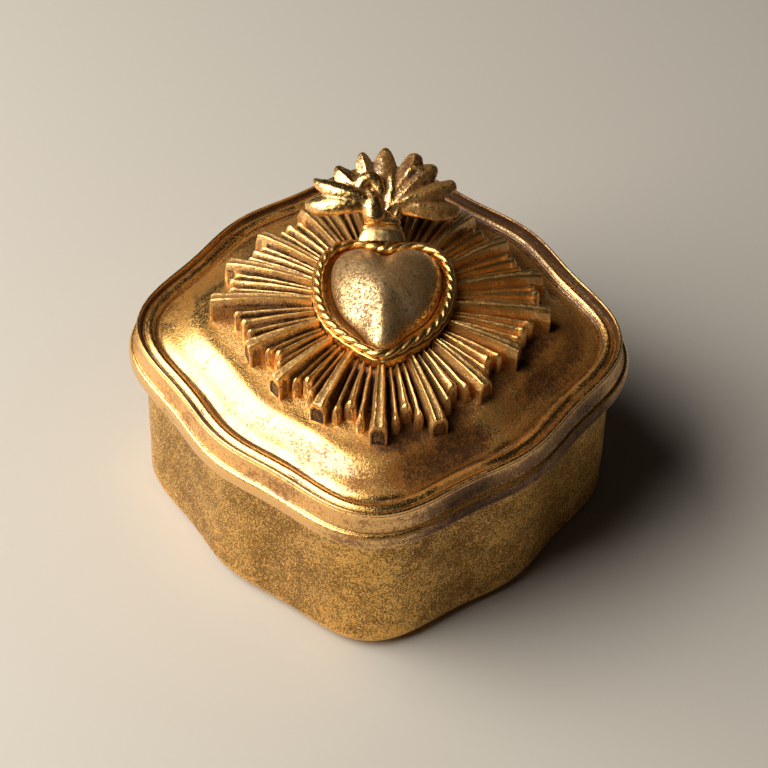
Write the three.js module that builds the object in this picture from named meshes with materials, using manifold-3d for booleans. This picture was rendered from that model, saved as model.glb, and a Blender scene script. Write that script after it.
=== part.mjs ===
// Gilt votive box: a four-lobed casket with a lift-off domed lid that carries a sunburst,
// a heart inside a rope border, and a crown of flames.
// Millimetres, +Z up. The origin is the centre of the underside, on the surface it stands on.
// -Y is the front lobe, under the heart's point; the flames lie toward +Y.

import * as THREE from 'three';
import { mergeVertices } from 'three/addons/utils/BufferGeometryUtils.js';
import Module from 'manifold-3d';

const wasm = await Module();
wasm.setup();

// Plan of the rim: four bowed lobes on the axes, with a shallow cove either side of each
const rimRadius = 50.1; // mean radius of the lid's bead line
const lobeRise = 3.1; // how far the lobes stand out of the mean circle
const lobeRound = 1.25; // how tightly they are rounded, which sinks the coves

// Box body
const feltThickness = 1;
const feltInset = 4; // felt edge, in from the wall's face
const bodyHeight = 38; // underside of the casting to the top of its wall
const wallInset = 1.8; // wall's face, in from the bead line
const wallThickness = 3.2;
const floorThickness = 3.5;
const footFillet = 2.5; // rounding of the body's bottom edge
const cavityFillet = 3; // rounding where the cavity's floor meets its wall

// Lid: a rim moulding round a pillow-shaped dome, hollow underneath. The rim rises from an
// upright face through a cove to a thin bead, then steps down to a groove and a flat band.
const lidThickness = 3.2;
const lipClearance = 0.5; // between the locating lip and the wall
const lipThickness = 2.2;
const lipDepth = 4;
const rimHeight = 9; // seam to the top of the bead
const noseOverhang = 1.9; // the rim's lower face, out from the bead line
const noseHeight = 3.5; // of that face
const noseRound = 0.4; // rounding of its two edges
const coveFace = 0.1; // top of the cove above it, out from the bead line
const coveDrop = 0.8; // and below the bead's top
const beadInset = 0.4; // centre of the thin bead, in from the bead line
const beadRadius = 0.35;
const grooveInset = 1.5; // groove inside the bead
const grooveDrop = 2.1; // below the bead's top
const bandInset = 2.2; // flat band inside the groove
const bandWidth = 2.1;
const bandDrop = 1.35;
const domeInset = 4.6; // dome's edge, in from the bead line
const domeDrop = 3.4; // and below the bead's top
const domeRise = 9.3;
const domeFullness = 3; // exponents that give the dome its round shoulder
const domeShoulder = 0.7;

// Sunburst
const bedding = 0.3; // thin bed between a piece and the curved face that carries it
const burstInset = 15.1; // mean circle of the long rays' tips, in from the rim's mean circle
const burstLobe = 2.3; // how much more they reach toward the lobes
const burstBack = 2.75; // and between the lobes at the back
const burstFlank = 7; // how much less in front of the sides
const hubOffset = -3; // where the rays' lines meet, along Y
const frontRayStep = 22.5; // degrees between long rays, front half
const frontRaySteps = 4;
const backRayStep = 19.5; // and in the back half
const backRaySteps = 4;
const hubThickness = 3;
const rayRootHeight = 5.5; // above the dome, at the heart
const rayTipHeight = 5.5;
const shortRayDrop = 0.8; // short rays' crests, below the long rays'
const longRayWidth = 3.4;
const shortRayWidth = 2;
const shortRayReach = 0.86; // share of the long rays' length, beside them
const middleRayReach = 0.88; // and halfway between them
const middleRayDip = 0.16; // how much less it is at the point of the heart
const longRaySlot = 0.37; // share of a step that a long ray takes at its root
const valleyDepth = 1.6; // at the roots
const webThickness = 1; // at the web's outer edge
const webReach = 0.7; // share of a ray's length that the web joins
const rayDraft = 0.15; // each flank's lean, so that the casting leaves its mould
const grooveWidth = 0.2; // between neighbouring rays at their roots

// Heart, its tray and the rope border
const borderCentre = 0.7; // along X: the group sits a little to the right
const borderRadius = 16.5; // mean radius of the rope's line
const borderLift = 0.95; // how much fuller the upper half is
const borderNarrowing = 1.85; // how much narrower than tall
const borderPoint = 2.4; // how far the lower point is drawn out
const borderDip = 6.8; // how deep the top dips in
const pointSharpness = 27; // exponents that keep the point and the dip narrow
const dipSharpness = 7;
const trayLedge = 0.9; // tray's edge, out from the rope's line
const trayFit = 0.3; // between the tray and the roots of the rays
const trayThickness = 2.6;
const troughDepth = 0.5;
const troughWidth = 2.6; // rope's line to the heart's edge
const heartRaise = 1; // how far the heart is shifted up inside the border
const heartShift = 0.5; // and to the right
const heartPoint = 1.7; // how much further its point is drawn out
const heartEdge = 0.8; // upright edge under the heart's swell
const heartSwell = 6.9;
const heartCrease = 1.5; // how deep the swell folds in below the notch
const heartCreaseWidth = 4.5;
const spigotRadius = 7; // tray's spigot through the hub into the lid
const spigotClearance = 0.3;
const recessDepth = 1.2; // of the spigot's seat in the dome
const ropeTwists = 34; // half turns of the rope, which read as its beads
const ropeBroad = 1.2; // rope section's half width
const ropeSlim = 0.9;

// Neck band and flames
const crownCentre = -0.2; // along X
const flameTilt = 28; // degrees that the crown leans up from level
const neckSetBack = 1.05; // rope border to neck band
const neckGap = 0.3; // flames beside the neck band
const neckLength = 3;
const neckBaseWidth = 10;
const neckTopWidth = 6.8;
const neckDepth = 3.5;
const tenonWidth = 3.6;
const tenonDepth = 1.6;
const tenonClearance = 0.3;
const tenonLength = 2.6;
const flameReach = 17.9; // root to the tip of the middle flame
const flameSpread = 0.9; // how much longer the side flames are
const flameCount = 9;
const flameStep = 18.4; // degrees between flames
const flameFirst = 15; // degrees of the lowest flame on the right
const flameWidth = 6.2;
const flameThickness = 3.4;
const flameStart = 1; // where the flames begin, from their common root
const flameLift = 0.6; // how far the tips stand up off the fan
const curlAngles = [30, 62, 105, 150]; // degrees of the short flames in front
const curlReach = 11.5;
const curlWidth = 5;
const curlLift = 3.4; // how far the front flames curl up off the back ones
const mountLength = 9; // solid mount that carries the flames on the rays
const mountRootWidth = 7;
const mountEndWidth = 12;
const mountTop = 2;

// Fineness of the curved faces
const rimPoints = 64;
const borderPoints = 48;

// Levels and plan lines that follow from the sizes above
const wallTop = feltThickness + bodyHeight;
const beadTop = wallTop + rimHeight;
const domeEdgeZ = beadTop - domeDrop;
const domeTop = domeEdgeZ + domeRise;
const lipInset = wallInset + wallThickness + lipClearance;
const hollowInset = lipInset + lipThickness;
const hubTop = domeTop + bedding + hubThickness;
const trayTop = hubTop + trayThickness;
const heartSeat = trayTop - troughDepth;
const tau = 2 * Math.PI;

const radians = THREE.MathUtils.degToRad;
const mix = THREE.MathUtils.lerp;

const gilt = { metalness: 1, roughness: 0.34 };
const burnished = new THREE.MeshStandardMaterial({ color: 0xc9952f, ...gilt });
const speckled = new THREE.MeshStandardMaterial({ color: 0xa88340, metalness: 1, roughness: 0.5 });
const rayGold = new THREE.MeshStandardMaterial({ color: 0xb5833a, metalness: 1, roughness: 0.4 });
const trayGold = new THREE.MeshStandardMaterial({ color: 0x9c6f2c, metalness: 1, roughness: 0.45 });
const heartGold = new THREE.MeshStandardMaterial({ color: 0xb48c48, metalness: 1, roughness: 0.42 });
const ropeGold = new THREE.MeshStandardMaterial({ color: 0xcb9a45, metalness: 1, roughness: 0.38 });
const neckGold = new THREE.MeshStandardMaterial({ color: 0xd0a04a, ...gilt });
const flameGold = new THREE.MeshStandardMaterial({ color: 0xbb8c40, metalness: 1, roughness: 0.4 });
const feltBrown = new THREE.MeshStandardMaterial({ color: 0x3a2c22, metalness: 0, roughness: 0.95 });

// Geometry helpers

function volumeOf(points, faces) {
  let sum = 0;
  for (const [a, b, c] of faces) {
    sum += points[a].dot(new THREE.Vector3().crossVectors(points[b], points[c])) / 6;
  }
  return sum;
}

// A geometry from points and triangles, turned so that its faces look outward
function skin(points, faces) {
  const turned = volumeOf(points, faces) < 0;
  const geometry = new THREE.BufferGeometry();
  const numbers = points.flatMap((p) => p.toArray());
  geometry.setAttribute('position', new THREE.Float32BufferAttribute(numbers, 3));
  geometry.setIndex(faces.flatMap(([a, b, c]) => (turned ? [a, c, b] : [a, b, c])));
  return geometry;
}

// Joins rings with equal numbers of points. An open run of rings is closed by a fan at each end,
// and a looped one by joining its last ring to its first.
function loft(rings, looped = false) {
  const count = rings[0].length;
  const points = rings.flat();
  const faces = [];
  const spans = looped ? rings.length : rings.length - 1;
  for (let j = 0; j < spans; j++) {
    const low = j * count;
    const high = ((j + 1) % rings.length) * count;
    for (let i = 0; i < count; i++) {
      const next = (i + 1) % count;
      faces.push([low + i, low + next, high + next], [low + i, high + next, high + i]);
    }
  }
  if (!looped) {
    for (const [ring, start, flip] of [[rings[0], 0, true], [rings.at(-1), points.length - count, false]]) {
      const centre = ring.reduce((sum, p) => sum.add(p), new THREE.Vector3()).divideScalar(count);
      const hub = points.push(centre) - 1;
      for (let i = 0; i < count; i++) {
        const next = (i + 1) % count;
        faces.push(flip ? [hub, start + next, start + i] : [hub, start + i, start + next]);
      }
    }
  }
  return skin(points, faces);
}

function toSolid(geometry) {
  const bare = geometry.clone();
  bare.deleteAttribute('normal');
  bare.deleteAttribute('uv');
  const merged = mergeVertices(bare, 1e-4);
  return new wasm.Manifold(new wasm.Mesh({
    numProp: 3,
    vertProperties: new Float32Array(merged.attributes.position.array),
    triVerts: new Uint32Array(merged.index.array),
  }));
}

function toGeometry(solid) {
  const mesh = solid.getMesh();
  const geometry = new THREE.BufferGeometry();
  geometry.setAttribute('position', new THREE.BufferAttribute(new Float32Array(mesh.vertProperties), 3));
  geometry.setIndex(new THREE.BufferAttribute(new Uint32Array(mesh.triVerts), 1));
  return geometry;
}

const joined = (geometries) => toGeometry(geometries.map(toSolid).reduce((whole, next) => whole.add(next)));
const cut = (geometry, tool) => toGeometry(toSolid(geometry).subtract(toSolid(tool)));

function ringOf(count, place) {
  return Array.from({ length: count }, (_, i) => place((tau * i) / count));
}

// Points [out, z] of an arc in the rim's profile, from one angle to another in degrees
function arc(out, z, radius, from, to, steps) {
  return Array.from({ length: steps + 1 }, (_, i) => {
    const turn = radians(mix(from, to, i / steps));
    return [out + radius * Math.cos(turn), z + radius * Math.sin(turn)];
  });
}

// Radius of the bead line at an angle round the box
function rimAt(angle) {
  return rimRadius + lobeRise * Math.cos(4 * angle) + lobeRound * Math.cos(8 * angle);
}

// A point of the outline, moved square to it by `out`, at height z
function rimPoint(angle, out, z) {
  const radius = rimAt(angle);
  const slope = -4 * lobeRise * Math.sin(4 * angle) - 8 * lobeRound * Math.sin(8 * angle);
  const length = Math.hypot(radius, slope);
  const along = new THREE.Vector2(Math.cos(angle), Math.sin(angle));
  const across = new THREE.Vector2(-along.y, along.x);
  const normal = along.clone().multiplyScalar(radius / length).addScaledVector(across, -slope / length);
  const place = along.multiplyScalar(radius).addScaledVector(normal, out);
  return new THREE.Vector3(place.x, place.y, z);
}

const rimRing = (out, z) => ringOf(rimPoints, (angle) => rimPoint(angle, out, z));

// Height of the dome over a point of the plan
function domeHeight(x, y) {
  const edge = rimAt(Math.atan2(y, x)) - domeInset;
  const share = Math.min(1, Math.hypot(x, y) / edge);
  return domeEdgeZ + domeRise * (1 - share ** domeFullness) ** domeShoulder;
}

function domeRing(share, drop) {
  return ringOf(rimPoints, (angle) => {
    const radius = share * (rimAt(angle) - domeInset);
    const x = radius * Math.cos(angle);
    const y = radius * Math.sin(angle);
    return new THREE.Vector3(x, y, domeHeight(x, y) - drop);
  });
}

// Radius of the rope's line round its own centre
function borderAt(angle) {
  const up = Math.max(0, Math.sin(angle));
  const down = Math.max(0, -Math.sin(angle));
  return borderRadius + borderLift * Math.sin(angle) - borderNarrowing * Math.cos(2 * angle)
    + borderPoint * down ** pointSharpness - borderDip * up ** dipSharpness;
}

function heartAt(angle) {
  const down = Math.max(0, -Math.sin(angle));
  return borderAt(angle) - troughWidth + heartRaise * Math.sin(angle) + heartShift * Math.cos(angle)
    + heartPoint * down ** pointSharpness;
}

function polarPoint(angle, radius, z) {
  return new THREE.Vector3(borderCentre + radius * Math.cos(angle), radius * Math.sin(angle), z);
}

const borderRing = (out, z) => ringOf(borderPoints, (angle) =>
  polarPoint(angle, borderAt(angle) + out, z));
const heartRing = (share, z) => ringOf(borderPoints, (angle) =>
  polarPoint(angle, share * heartAt(angle), z));
const troughRing = (share, z) => ringOf(borderPoints, (angle) =>
  polarPoint(angle, mix(borderAt(angle) - ropeSlim, heartAt(angle), share), z));
const spigotRing = (z) => ringOf(borderPoints, (angle) => polarPoint(angle, spigotRadius, z));

// Sub-parts

function bodyGeometry() {
  const face = -wallInset;
  const inner = face - wallThickness;
  const foot = arc(face - footFillet, feltThickness + footFillet, footFillet, -90, 0, 3);
  const floorTop = feltThickness + floorThickness;
  const cavity = arc(inner - cavityFillet, floorTop + cavityFillet, cavityFillet, 0, -90, 2);
  const profile = [...foot, [face, wallTop], [inner, wallTop], ...cavity];
  return loft(profile.map(([out, z]) => rimRing(out, z)));
}

function feltGeometry() {
  return loft([0, feltThickness].map((z) => rimRing(-wallInset - feltInset, z)));
}

function lidGeometry() {
  const noseTop = wallTop + noseHeight;
  const noseCentre = noseOverhang - noseRound;
  const nose = [
    ...arc(noseCentre, wallTop + noseRound, noseRound, -90, 0, 1),
    ...arc(noseCentre, noseTop - noseRound, noseRound, 0, 90, 2),
  ];
  const cove = [30, 60, 90].map((turn) => [
    mix(noseCentre, coveFace, Math.sin(radians(turn))),
    mix(beadTop - coveDrop, noseTop, Math.cos(radians(turn))),
  ]);
  const bead = arc(-beadInset, beadTop - beadRadius, beadRadius, 0, 180, 3);
  const groove = [-grooveInset, beadTop - grooveDrop];
  const bandTop = beadTop - bandDrop;
  const band = [[-bandInset, bandTop], [-bandInset - bandWidth, bandTop], [-domeInset, domeEdgeZ]];
  const lip = [[-hollowInset, wallTop - lipDepth], [-lipInset, wallTop - lipDepth], [-lipInset, wallTop]];
  const hollowTop = rimRing(-hollowInset, 0);
  hollowTop.forEach((p) => p.setZ(domeHeight(p.x, p.y) - lidThickness));
  const rings = [
    ...[0.3, 0.65].map((share) => domeRing(share, lidThickness)),
    hollowTop,
    ...[...lip, ...nose, ...cove, ...bead, groove, ...band].map(([out, z]) => rimRing(out, z)),
    ...[0.98, 0.92, 0.8, 0.6, 0.3].map((share) => domeRing(share, 0)),
  ];
  const seat = new THREE.CylinderGeometry(
    spigotRadius + spigotClearance, spigotRadius + spigotClearance, 2 * recessDepth, borderPoints);
  seat.rotateX(Math.PI / 2);
  seat.translate(borderCentre, 0, domeTop);
  return cut(loft(rings), seat);
}

// The rays in order round the hub, each with its direction, tip, widths and crest heights
function rays() {
  const long = [-90];
  for (let i = 1; i <= frontRaySteps; i++) long.push(-90 + i * frontRayStep);
  for (let i = 1; i <= backRaySteps; i++) long.push(-90 + frontRaySteps * frontRayStep + i * backRayStep);
  for (const angle of long.slice(1).reverse()) long.push(180 - angle);
  const shortSlot = (1 - longRaySlot) / 3;
  const list = [];
  long.forEach((start, i) => {
    const step = (long[i + 1] ?? 270) - start;
    for (let k = 0; k < 4; k++) {
      const place = k === 0 ? 0 : longRaySlot / 2 + (k - 0.5) * shortSlot;
      const angle = radians(start + place * step);
      const middleReach = middleRayReach - middleRayDip * Math.max(0, -Math.sin(angle));
      list.push({
        angle,
        reach: [1, shortRayReach, middleReach, shortRayReach][k],
        slot: radians(step * (k === 0 ? longRaySlot : shortSlot)),
        width: k === 0 ? longRayWidth : shortRayWidth,
        drop: k === 0 ? 0 : shortRayDrop,
      });
    }
  });
  return list;
}

// Distance of a long ray's tip from the group's centre
function reachAt(angle) {
  const back = Math.max(0, Math.sin(angle)) * Math.abs(Math.cos(angle));
  const flank = Math.max(0, -Math.sin(angle)) * Math.max(0, Math.cos(2 * angle));
  return rimRadius - burstInset + burstLobe * Math.cos(4 * angle)
    + 2 * burstBack * back - burstFlank * flank;
}

// Distance from a point inside the tray's outline to its fit line, in a direction
function rootFrom(start, direction) {
  let near = 0;
  let far = rimRadius;
  for (let i = 0; i < 40; i++) {
    const middle = (near + far) / 2;
    const p = start.clone().addScaledVector(direction, middle);
    const radius = borderAt(Math.atan2(p.y, p.x - borderCentre)) + trayLedge + trayFit;
    if (Math.hypot(p.x - borderCentre, p.y) < radius) near = middle;
    else far = middle;
  }
  return near;
}

function sunburstGeometry() {
  const hub = new THREE.Vector2(borderCentre, hubOffset);
  const lines = [];
  for (const ray of rays()) {
    const tipAim = new THREE.Vector2(Math.cos(ray.angle), Math.sin(ray.angle));
    tipAim.multiplyScalar(reachAt(ray.angle)).sub(new THREE.Vector2(0, hubOffset));
    const along = tipAim.clone().normalize();
    const across = new THREE.Vector2(-along.y, along.x);
    const root = rootFrom(hub, along);
    const tip = root + (tipAim.length() - root) * ray.reach;
    const rootWidth = root * ray.slot - grooveWidth;
    const web = root + (tip - root) * webReach;
    const crestAt = (d) => mix(rayRootHeight, rayTipHeight, (d - root) / (tip - root)) - ray.drop;
    for (const [side, foot] of [[-1, true], [-1, false], [1, false], [1, true]]) {
      const end = foot ? web : tip;
      const asideAt = (d) => {
        const width = mix(rootWidth, ray.width, (d - root) / (tip - root));
        return side * (width / 2 - (foot ? 0 : rayDraft));
      };
      const start = rootFrom(hub.clone().addScaledVector(across, asideAt(root)), along);
      const spots = [start, mix(root, end, 0.5), end].map((d) => {
        const p = hub.clone().addScaledVector(along, d).addScaledVector(across, asideAt(Math.max(d, root)));
        const under = domeHeight(p.x, p.y) + bedding;
        const share = (d - root) / (web - root);
        const footHeight = mix(crestAt(root) - valleyDepth, webThickness, share);
        return { p, under, top: under + (foot ? footHeight : crestAt(d)) };
      });
      lines.push(spots);
    }
  }
  const ring = (level, pick) => lines.map((spots) => {
    const { p } = spots[level];
    return new THREE.Vector3(p.x, p.y, pick(spots[level]));
  });
  const hole = lines.map((spots) => {
    const out = new THREE.Vector2(spots[0].p.x - borderCentre, spots[0].p.y).normalize();
    return out.multiplyScalar(spigotRadius + spigotClearance).add(new THREE.Vector2(borderCentre, 0));
  });
  const holeRing = (z) => hole.map((p) => new THREE.Vector3(p.x, p.y, z));
  return loft([
    holeRing(domeTop + bedding),
    ring(0, (spot) => spot.under),
    ring(1, (spot) => spot.under),
    ring(2, (spot) => spot.under),
    ring(2, (spot) => spot.top),
    ring(1, (spot) => spot.top),
    ring(0, (spot) => spot.top),
    ring(0, () => hubTop),
    holeRing(hubTop),
  ], true);
}

function trayGeometry() {
  return loft([
    spigotRing(domeTop - recessDepth + bedding),
    spigotRing(hubTop),
    borderRing(trayLedge, hubTop),
    borderRing(trayLedge, trayTop),
    troughRing(0, trayTop),
    troughRing(0.6, heartSeat),
    heartRing(0.7, heartSeat),
  ]);
}

function heartGeometry() {
  const levels = [[1, 0], [1, heartEdge]];
  for (const share of [0.93, 0.8, 0.6, 0.3]) {
    levels.push([share, heartEdge + heartSwell * (1 - share ** 2) ** 0.6]);
  }
  const rings = levels.map(([share, up]) => heartRing(share, heartSeat + up));
  for (const ring of rings.slice(2)) {
    for (const p of ring) {
      const fold = Math.exp(-(((p.x - borderCentre) / (heartCreaseWidth / 2)) ** 2));
      p.z -= heartCrease * fold * THREE.MathUtils.clamp(p.y / heartAt(Math.PI / 2), 0, 1);
    }
  }
  return loft(rings);
}

// The rope: an oval section that turns half round for every bead
function ropeGeometry() {
  const stations = ropeTwists * 3;
  const centreZ = trayTop + bedding + ropeBroad;
  const sections = ringOf(stations, (angle) => {
    const spin = (ropeTwists * angle) / 2;
    return ringOf(8, (turn) => {
      const out = ropeBroad * Math.cos(turn) * Math.cos(spin) - ropeSlim * Math.sin(turn) * Math.sin(spin);
      const up = ropeBroad * Math.cos(turn) * Math.sin(spin) + ropeSlim * Math.sin(turn) * Math.cos(spin);
      return polarPoint(angle, borderAt(angle) + out, centreZ + up);
    });
  });
  return loft(sections, true);
}

// The crown's own frame: X across, Y up the lean, Z square to it, with its origin at the flames' root
const lean = new THREE.Vector3(0, Math.cos(radians(flameTilt)), Math.sin(radians(flameTilt)));
const square = new THREE.Vector3(0, -lean.z, lean.y);
const raysTop = (x, y) => domeHeight(x, y) + bedding + rayRootHeight;
const neckBase = new THREE.Vector3(crownCentre, 0, 0);
neckBase.y = borderAt(Math.PI / 2) + ropeBroad + neckSetBack + (neckDepth / 2) * lean.z;
neckBase.z = raysTop(0, neckBase.y) + bedding + (neckDepth / 2) * lean.y;
const crownFrame = new THREE.Matrix4().makeBasis(new THREE.Vector3(1, 0, 0), lean, square);
crownFrame.setPosition(neckBase.clone().addScaledVector(lean, neckLength + tenonClearance));
const neckFrame = crownFrame.clone().setPosition(neckBase);

const ovalRing = (halfWidth, halfDepth, along) => ringOf(20, (angle) =>
  new THREE.Vector3(halfWidth * Math.cos(angle), along, halfDepth * Math.sin(angle)));

function neckGeometry() {
  const boreWidth = tenonWidth / 2 + tenonClearance;
  const boreDepth = tenonDepth / 2 + tenonClearance;
  return loft([
    ovalRing(neckBaseWidth / 2, neckDepth / 2, 0),
    ovalRing(mix(neckBaseWidth, neckTopWidth, 0.7) / 2, neckDepth / 2, neckLength / 2),
    ovalRing(neckTopWidth / 2, neckDepth / 2, neckLength),
    ovalRing(boreWidth, boreDepth, neckLength),
    ovalRing(boreWidth, boreDepth, 0),
  ], true).applyMatrix4(neckFrame);
}

// One flame: a leaf that swells from the root, then narrows and curls up to its tip
function flame({ angle, reach, width, lift }) {
  const direction = new THREE.Vector2(Math.cos(angle), Math.sin(angle));
  const across = new THREE.Vector2(-direction.y, direction.x);
  const sections = [0, 0.35, 0.65, 0.88, 1].map((t) => {
    const along = mix(flameStart, reach, t);
    const half = (width / 2) * (0.4 + 1.3 * t * (1 - t) + 0.25 * t) * (t === 1 ? 0.4 : 1);
    const deep = (flameThickness / 2) * (1 - 0.6 * t ** 2);
    const up = lift * t ** 1.5;
    return [[1, 0], [0.45, 0.75], [0, 1.1], [-0.45, 0.75], [-1, 0], [0, -1]].map(([w, d]) =>
      new THREE.Vector3(
        direction.x * along + across.x * w * half,
        direction.y * along + across.y * w * half,
        up + d * deep,
      ));
  });
  return loft(sections).applyMatrix4(crownFrame);
}

// The solid mount under the flames, from their root down to the rays' crests
function mountGeometry() {
  const sections = [0, 0.5, 1].map((t) => {
    const half = mix(mountRootWidth, mountEndWidth, t) / 2;
    const top = ringOf(12, (turn) => turn).slice(0, 7).map((turn) => new THREE.Vector3(
      half * Math.cos(turn), t * mountLength, mix(mountTop, mountTop / 2, t) * Math.sin(turn),
    ).applyMatrix4(crownFrame));
    const bottom = [-0.8, 0.8].map((w) => {
      const p = new THREE.Vector3(w * half, t * mountLength, 0).applyMatrix4(crownFrame);
      return p.setZ(raysTop(p.x, p.y) + bedding);
    });
    return [...top, ...bottom];
  });
  return loft(sections);
}

function crownGeometry() {
  const pieces = [mountGeometry()];
  for (let i = 0; i < flameCount; i++) {
    const angle = radians(flameFirst + i * flameStep);
    const reach = flameReach + flameSpread * Math.abs(Math.cos(angle));
    pieces.push(flame({ angle, reach, width: flameWidth, lift: flameLift }));
  }
  for (const turn of curlAngles) {
    pieces.push(flame({ angle: radians(turn), reach: curlReach, width: curlWidth, lift: curlLift }));
  }
  // The neck's place is kept clear, then the tenon goes into it
  const clearance = new THREE.BoxGeometry(neckTopWidth + 2 * neckGap, 2 * neckLength, 2 * flameReach);
  clearance.translate(0, -neckLength, 0);
  clearance.applyMatrix4(crownFrame);
  const tenonRing = (along) => ovalRing(tenonWidth / 2, tenonDepth / 2, along);
  const tenon = loft([tenonRing(-tenonLength), tenonRing(mountTop)]).applyMatrix4(crownFrame);
  return joined([cut(joined(pieces), clearance), tenon]);
}

const votiveBox = new THREE.Group();

function addPart(name, geometry, material) {
  geometry.computeVertexNormals();
  const mesh = new THREE.Mesh(geometry, material);
  mesh.name = name;
  votiveBox.add(mesh);
}

addPart('box_body', bodyGeometry(), speckled);
addPart('base_felt', feltGeometry(), feltBrown);
addPart('lid', lidGeometry(), burnished);
addPart('sunburst', sunburstGeometry(), rayGold);
addPart('heart_tray', trayGeometry(), trayGold);
addPart('heart', heartGeometry(), heartGold);
addPart('rope_border', ropeGeometry(), ropeGold);
addPart('neck_band', neckGeometry(), neckGold);
addPart('flame_crown', crownGeometry(), flameGold);

export default votiveBox;
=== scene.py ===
# Gilt votive box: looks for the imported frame, in metres, +Z up, box front toward -Y.
import math
import bpy
import numpy as np
from mathutils import Matrix, Vector, noise


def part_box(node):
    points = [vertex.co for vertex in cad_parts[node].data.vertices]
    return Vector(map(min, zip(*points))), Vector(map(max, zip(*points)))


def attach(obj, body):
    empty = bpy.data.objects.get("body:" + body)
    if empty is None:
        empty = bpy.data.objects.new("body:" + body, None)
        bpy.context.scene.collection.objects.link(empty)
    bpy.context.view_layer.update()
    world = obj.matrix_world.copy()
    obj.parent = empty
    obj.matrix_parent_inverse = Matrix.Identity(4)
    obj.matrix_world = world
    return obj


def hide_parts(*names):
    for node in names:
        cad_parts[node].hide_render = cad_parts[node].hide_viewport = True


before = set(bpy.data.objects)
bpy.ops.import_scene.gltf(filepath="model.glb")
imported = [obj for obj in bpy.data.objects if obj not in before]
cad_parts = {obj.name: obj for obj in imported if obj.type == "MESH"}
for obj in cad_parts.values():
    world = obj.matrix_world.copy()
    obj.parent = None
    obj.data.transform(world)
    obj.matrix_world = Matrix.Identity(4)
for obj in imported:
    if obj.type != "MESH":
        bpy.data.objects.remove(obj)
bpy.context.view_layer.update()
mm = 0.001   # the pieces are drawn in millimetres and turned into metres when they are made
tau = 2 * math.pi
print("frame loaded:", len(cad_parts), "nodes")

# Plan of the rim, the same values as the solid model, in millimetres
plan = {
    "rimRadius": 50.1,   # mean radius of the bead line
    "lobeRise": 3.1,
    "lobeRound": 1.25,
    "wallInset": 1.8,
    "wallThickness": 3.2,
    "groupCentre": 0.7,  # the heart and the rays sit a little to the right
    "bedding": 0.3,
    "ringPoints": 400,   # points round the box
    "sharpFrom": 40,     # degrees by which an edge has to turn to stay sharp
}
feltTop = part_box("base_felt")[1].z / mm
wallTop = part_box("box_body")[1].z / mm


# Shapes as rings of points
def angles(count):
    return np.arange(count) * tau / count


def mix(low, high, share):
    return low + (high - low) * share


def smoothStep(low, high, value):
    share = np.clip((value - low) / (high - low), 0, 1)
    return share * share * (3 - 2 * share)


def arc(out, z, radius, start, end, steps):
    turns = np.radians(np.linspace(start, end, steps + 1))   # points [out, z] of an arc in a profile
    return [(out + radius * math.cos(t), z + radius * math.sin(t)) for t in turns]


def rimAt(angle):
    return plan["rimRadius"] + plan["lobeRise"] * np.cos(4 * angle) + plan["lobeRound"] * np.cos(8 * angle)


def rimRing(out, z):
    angle = angles(plan["ringPoints"])   # the outline, moved square to itself by out
    radius = rimAt(angle)
    slope = -4 * plan["lobeRise"] * np.sin(4 * angle) - 8 * plan["lobeRound"] * np.sin(8 * angle)
    length = np.hypot(radius, slope)
    x = radius * np.cos(angle) + out * (radius * np.cos(angle) + slope * np.sin(angle)) / length
    y = radius * np.sin(angle) + out * (radius * np.sin(angle) - slope * np.cos(angle)) / length
    return np.stack([x, y, np.broadcast_to(z, x.shape)], axis=1)


def softNoise(points, size, seed):
    shift = Vector((seed * 17.3, seed * 5.1, seed * 9.7))   # smooth relief, about -1 to 1
    return np.array([noise.noise(Vector(p) / size + shift) for p in points])


def handmade(points, sizes, seed=1):
    moved = np.array(points, dtype=float)   # the small unevenness of a hand-finished casting
    for k, (size, depth) in enumerate(sizes):
        for axis in range(3):
            moved[:, axis] += depth * softNoise(points, size, seed + 3 * k + axis)
    return moved


def loft(rings, looped=False):
    count = len(rings[0])   # equal rings joined by quads, each open end closed by a fan
    points = np.concatenate(rings)
    spans = len(rings) if looped else len(rings) - 1
    i = np.arange(count)
    n = (i + 1) % count
    faces = []
    for j in range(spans):
        low, high = j * count, (j + 1) % len(rings) * count
        faces += np.stack([low + i, low + n, high + n, high + i], axis=1).tolist()
    if looped:
        return points, faces
    for ring, start, first, second in ((rings[0], 0, n, i), (rings[-1], (len(rings) - 1) * count, i, n)):
        hub = np.full(count, len(points))
        points = np.vstack([points, np.mean(ring, axis=0)])
        faces += np.stack([hub, start + first, start + second], axis=1).tolist()
    return points, faces


def volumeOf(points, faces):
    tris = [(f[0], f[k], f[k + 1]) for f in faces for k in range(1, len(f) - 1)]
    a, b, c = (points[[t[k] for t in tris]] for k in range(3))
    return np.sum(a * np.cross(b, c)) / 6


def outward(shape):
    points, faces = shape   # turns the faces so that they look out
    if volumeOf(points, faces) < 0:
        faces = [f[::-1] for f in faces]
    return points, faces


def together(shapes):
    points, faces, start = [], [], 0
    for shape in shapes:
        p, f = outward(shape)
        points.append(p)
        faces += [[k + start for k in face] for face in f]
        start += len(p)
    return np.concatenate(points), faces


def readPoints(mesh):
    flat = np.empty(len(mesh.vertices) * 3)
    mesh.vertices.foreach_get("co", flat)
    return flat.reshape(-1, 3)


def surroundings(mesh, points, passes):
    ends = np.empty(len(mesh.edges) * 2, dtype=int)
    mesh.edges.foreach_get("vertices", ends)
    a, b = ends[::2], ends[1::2]
    count = len(points)
    touching = np.maximum(1, np.bincount(a, minlength=count) + np.bincount(b, minlength=count))
    for _ in range(passes):
        total = [np.bincount(a, points[b, k], count) + np.bincount(b, points[a, k], count) for k in range(3)]
        points = np.stack(total, axis=1) / touching[:, None]
    return points


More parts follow.
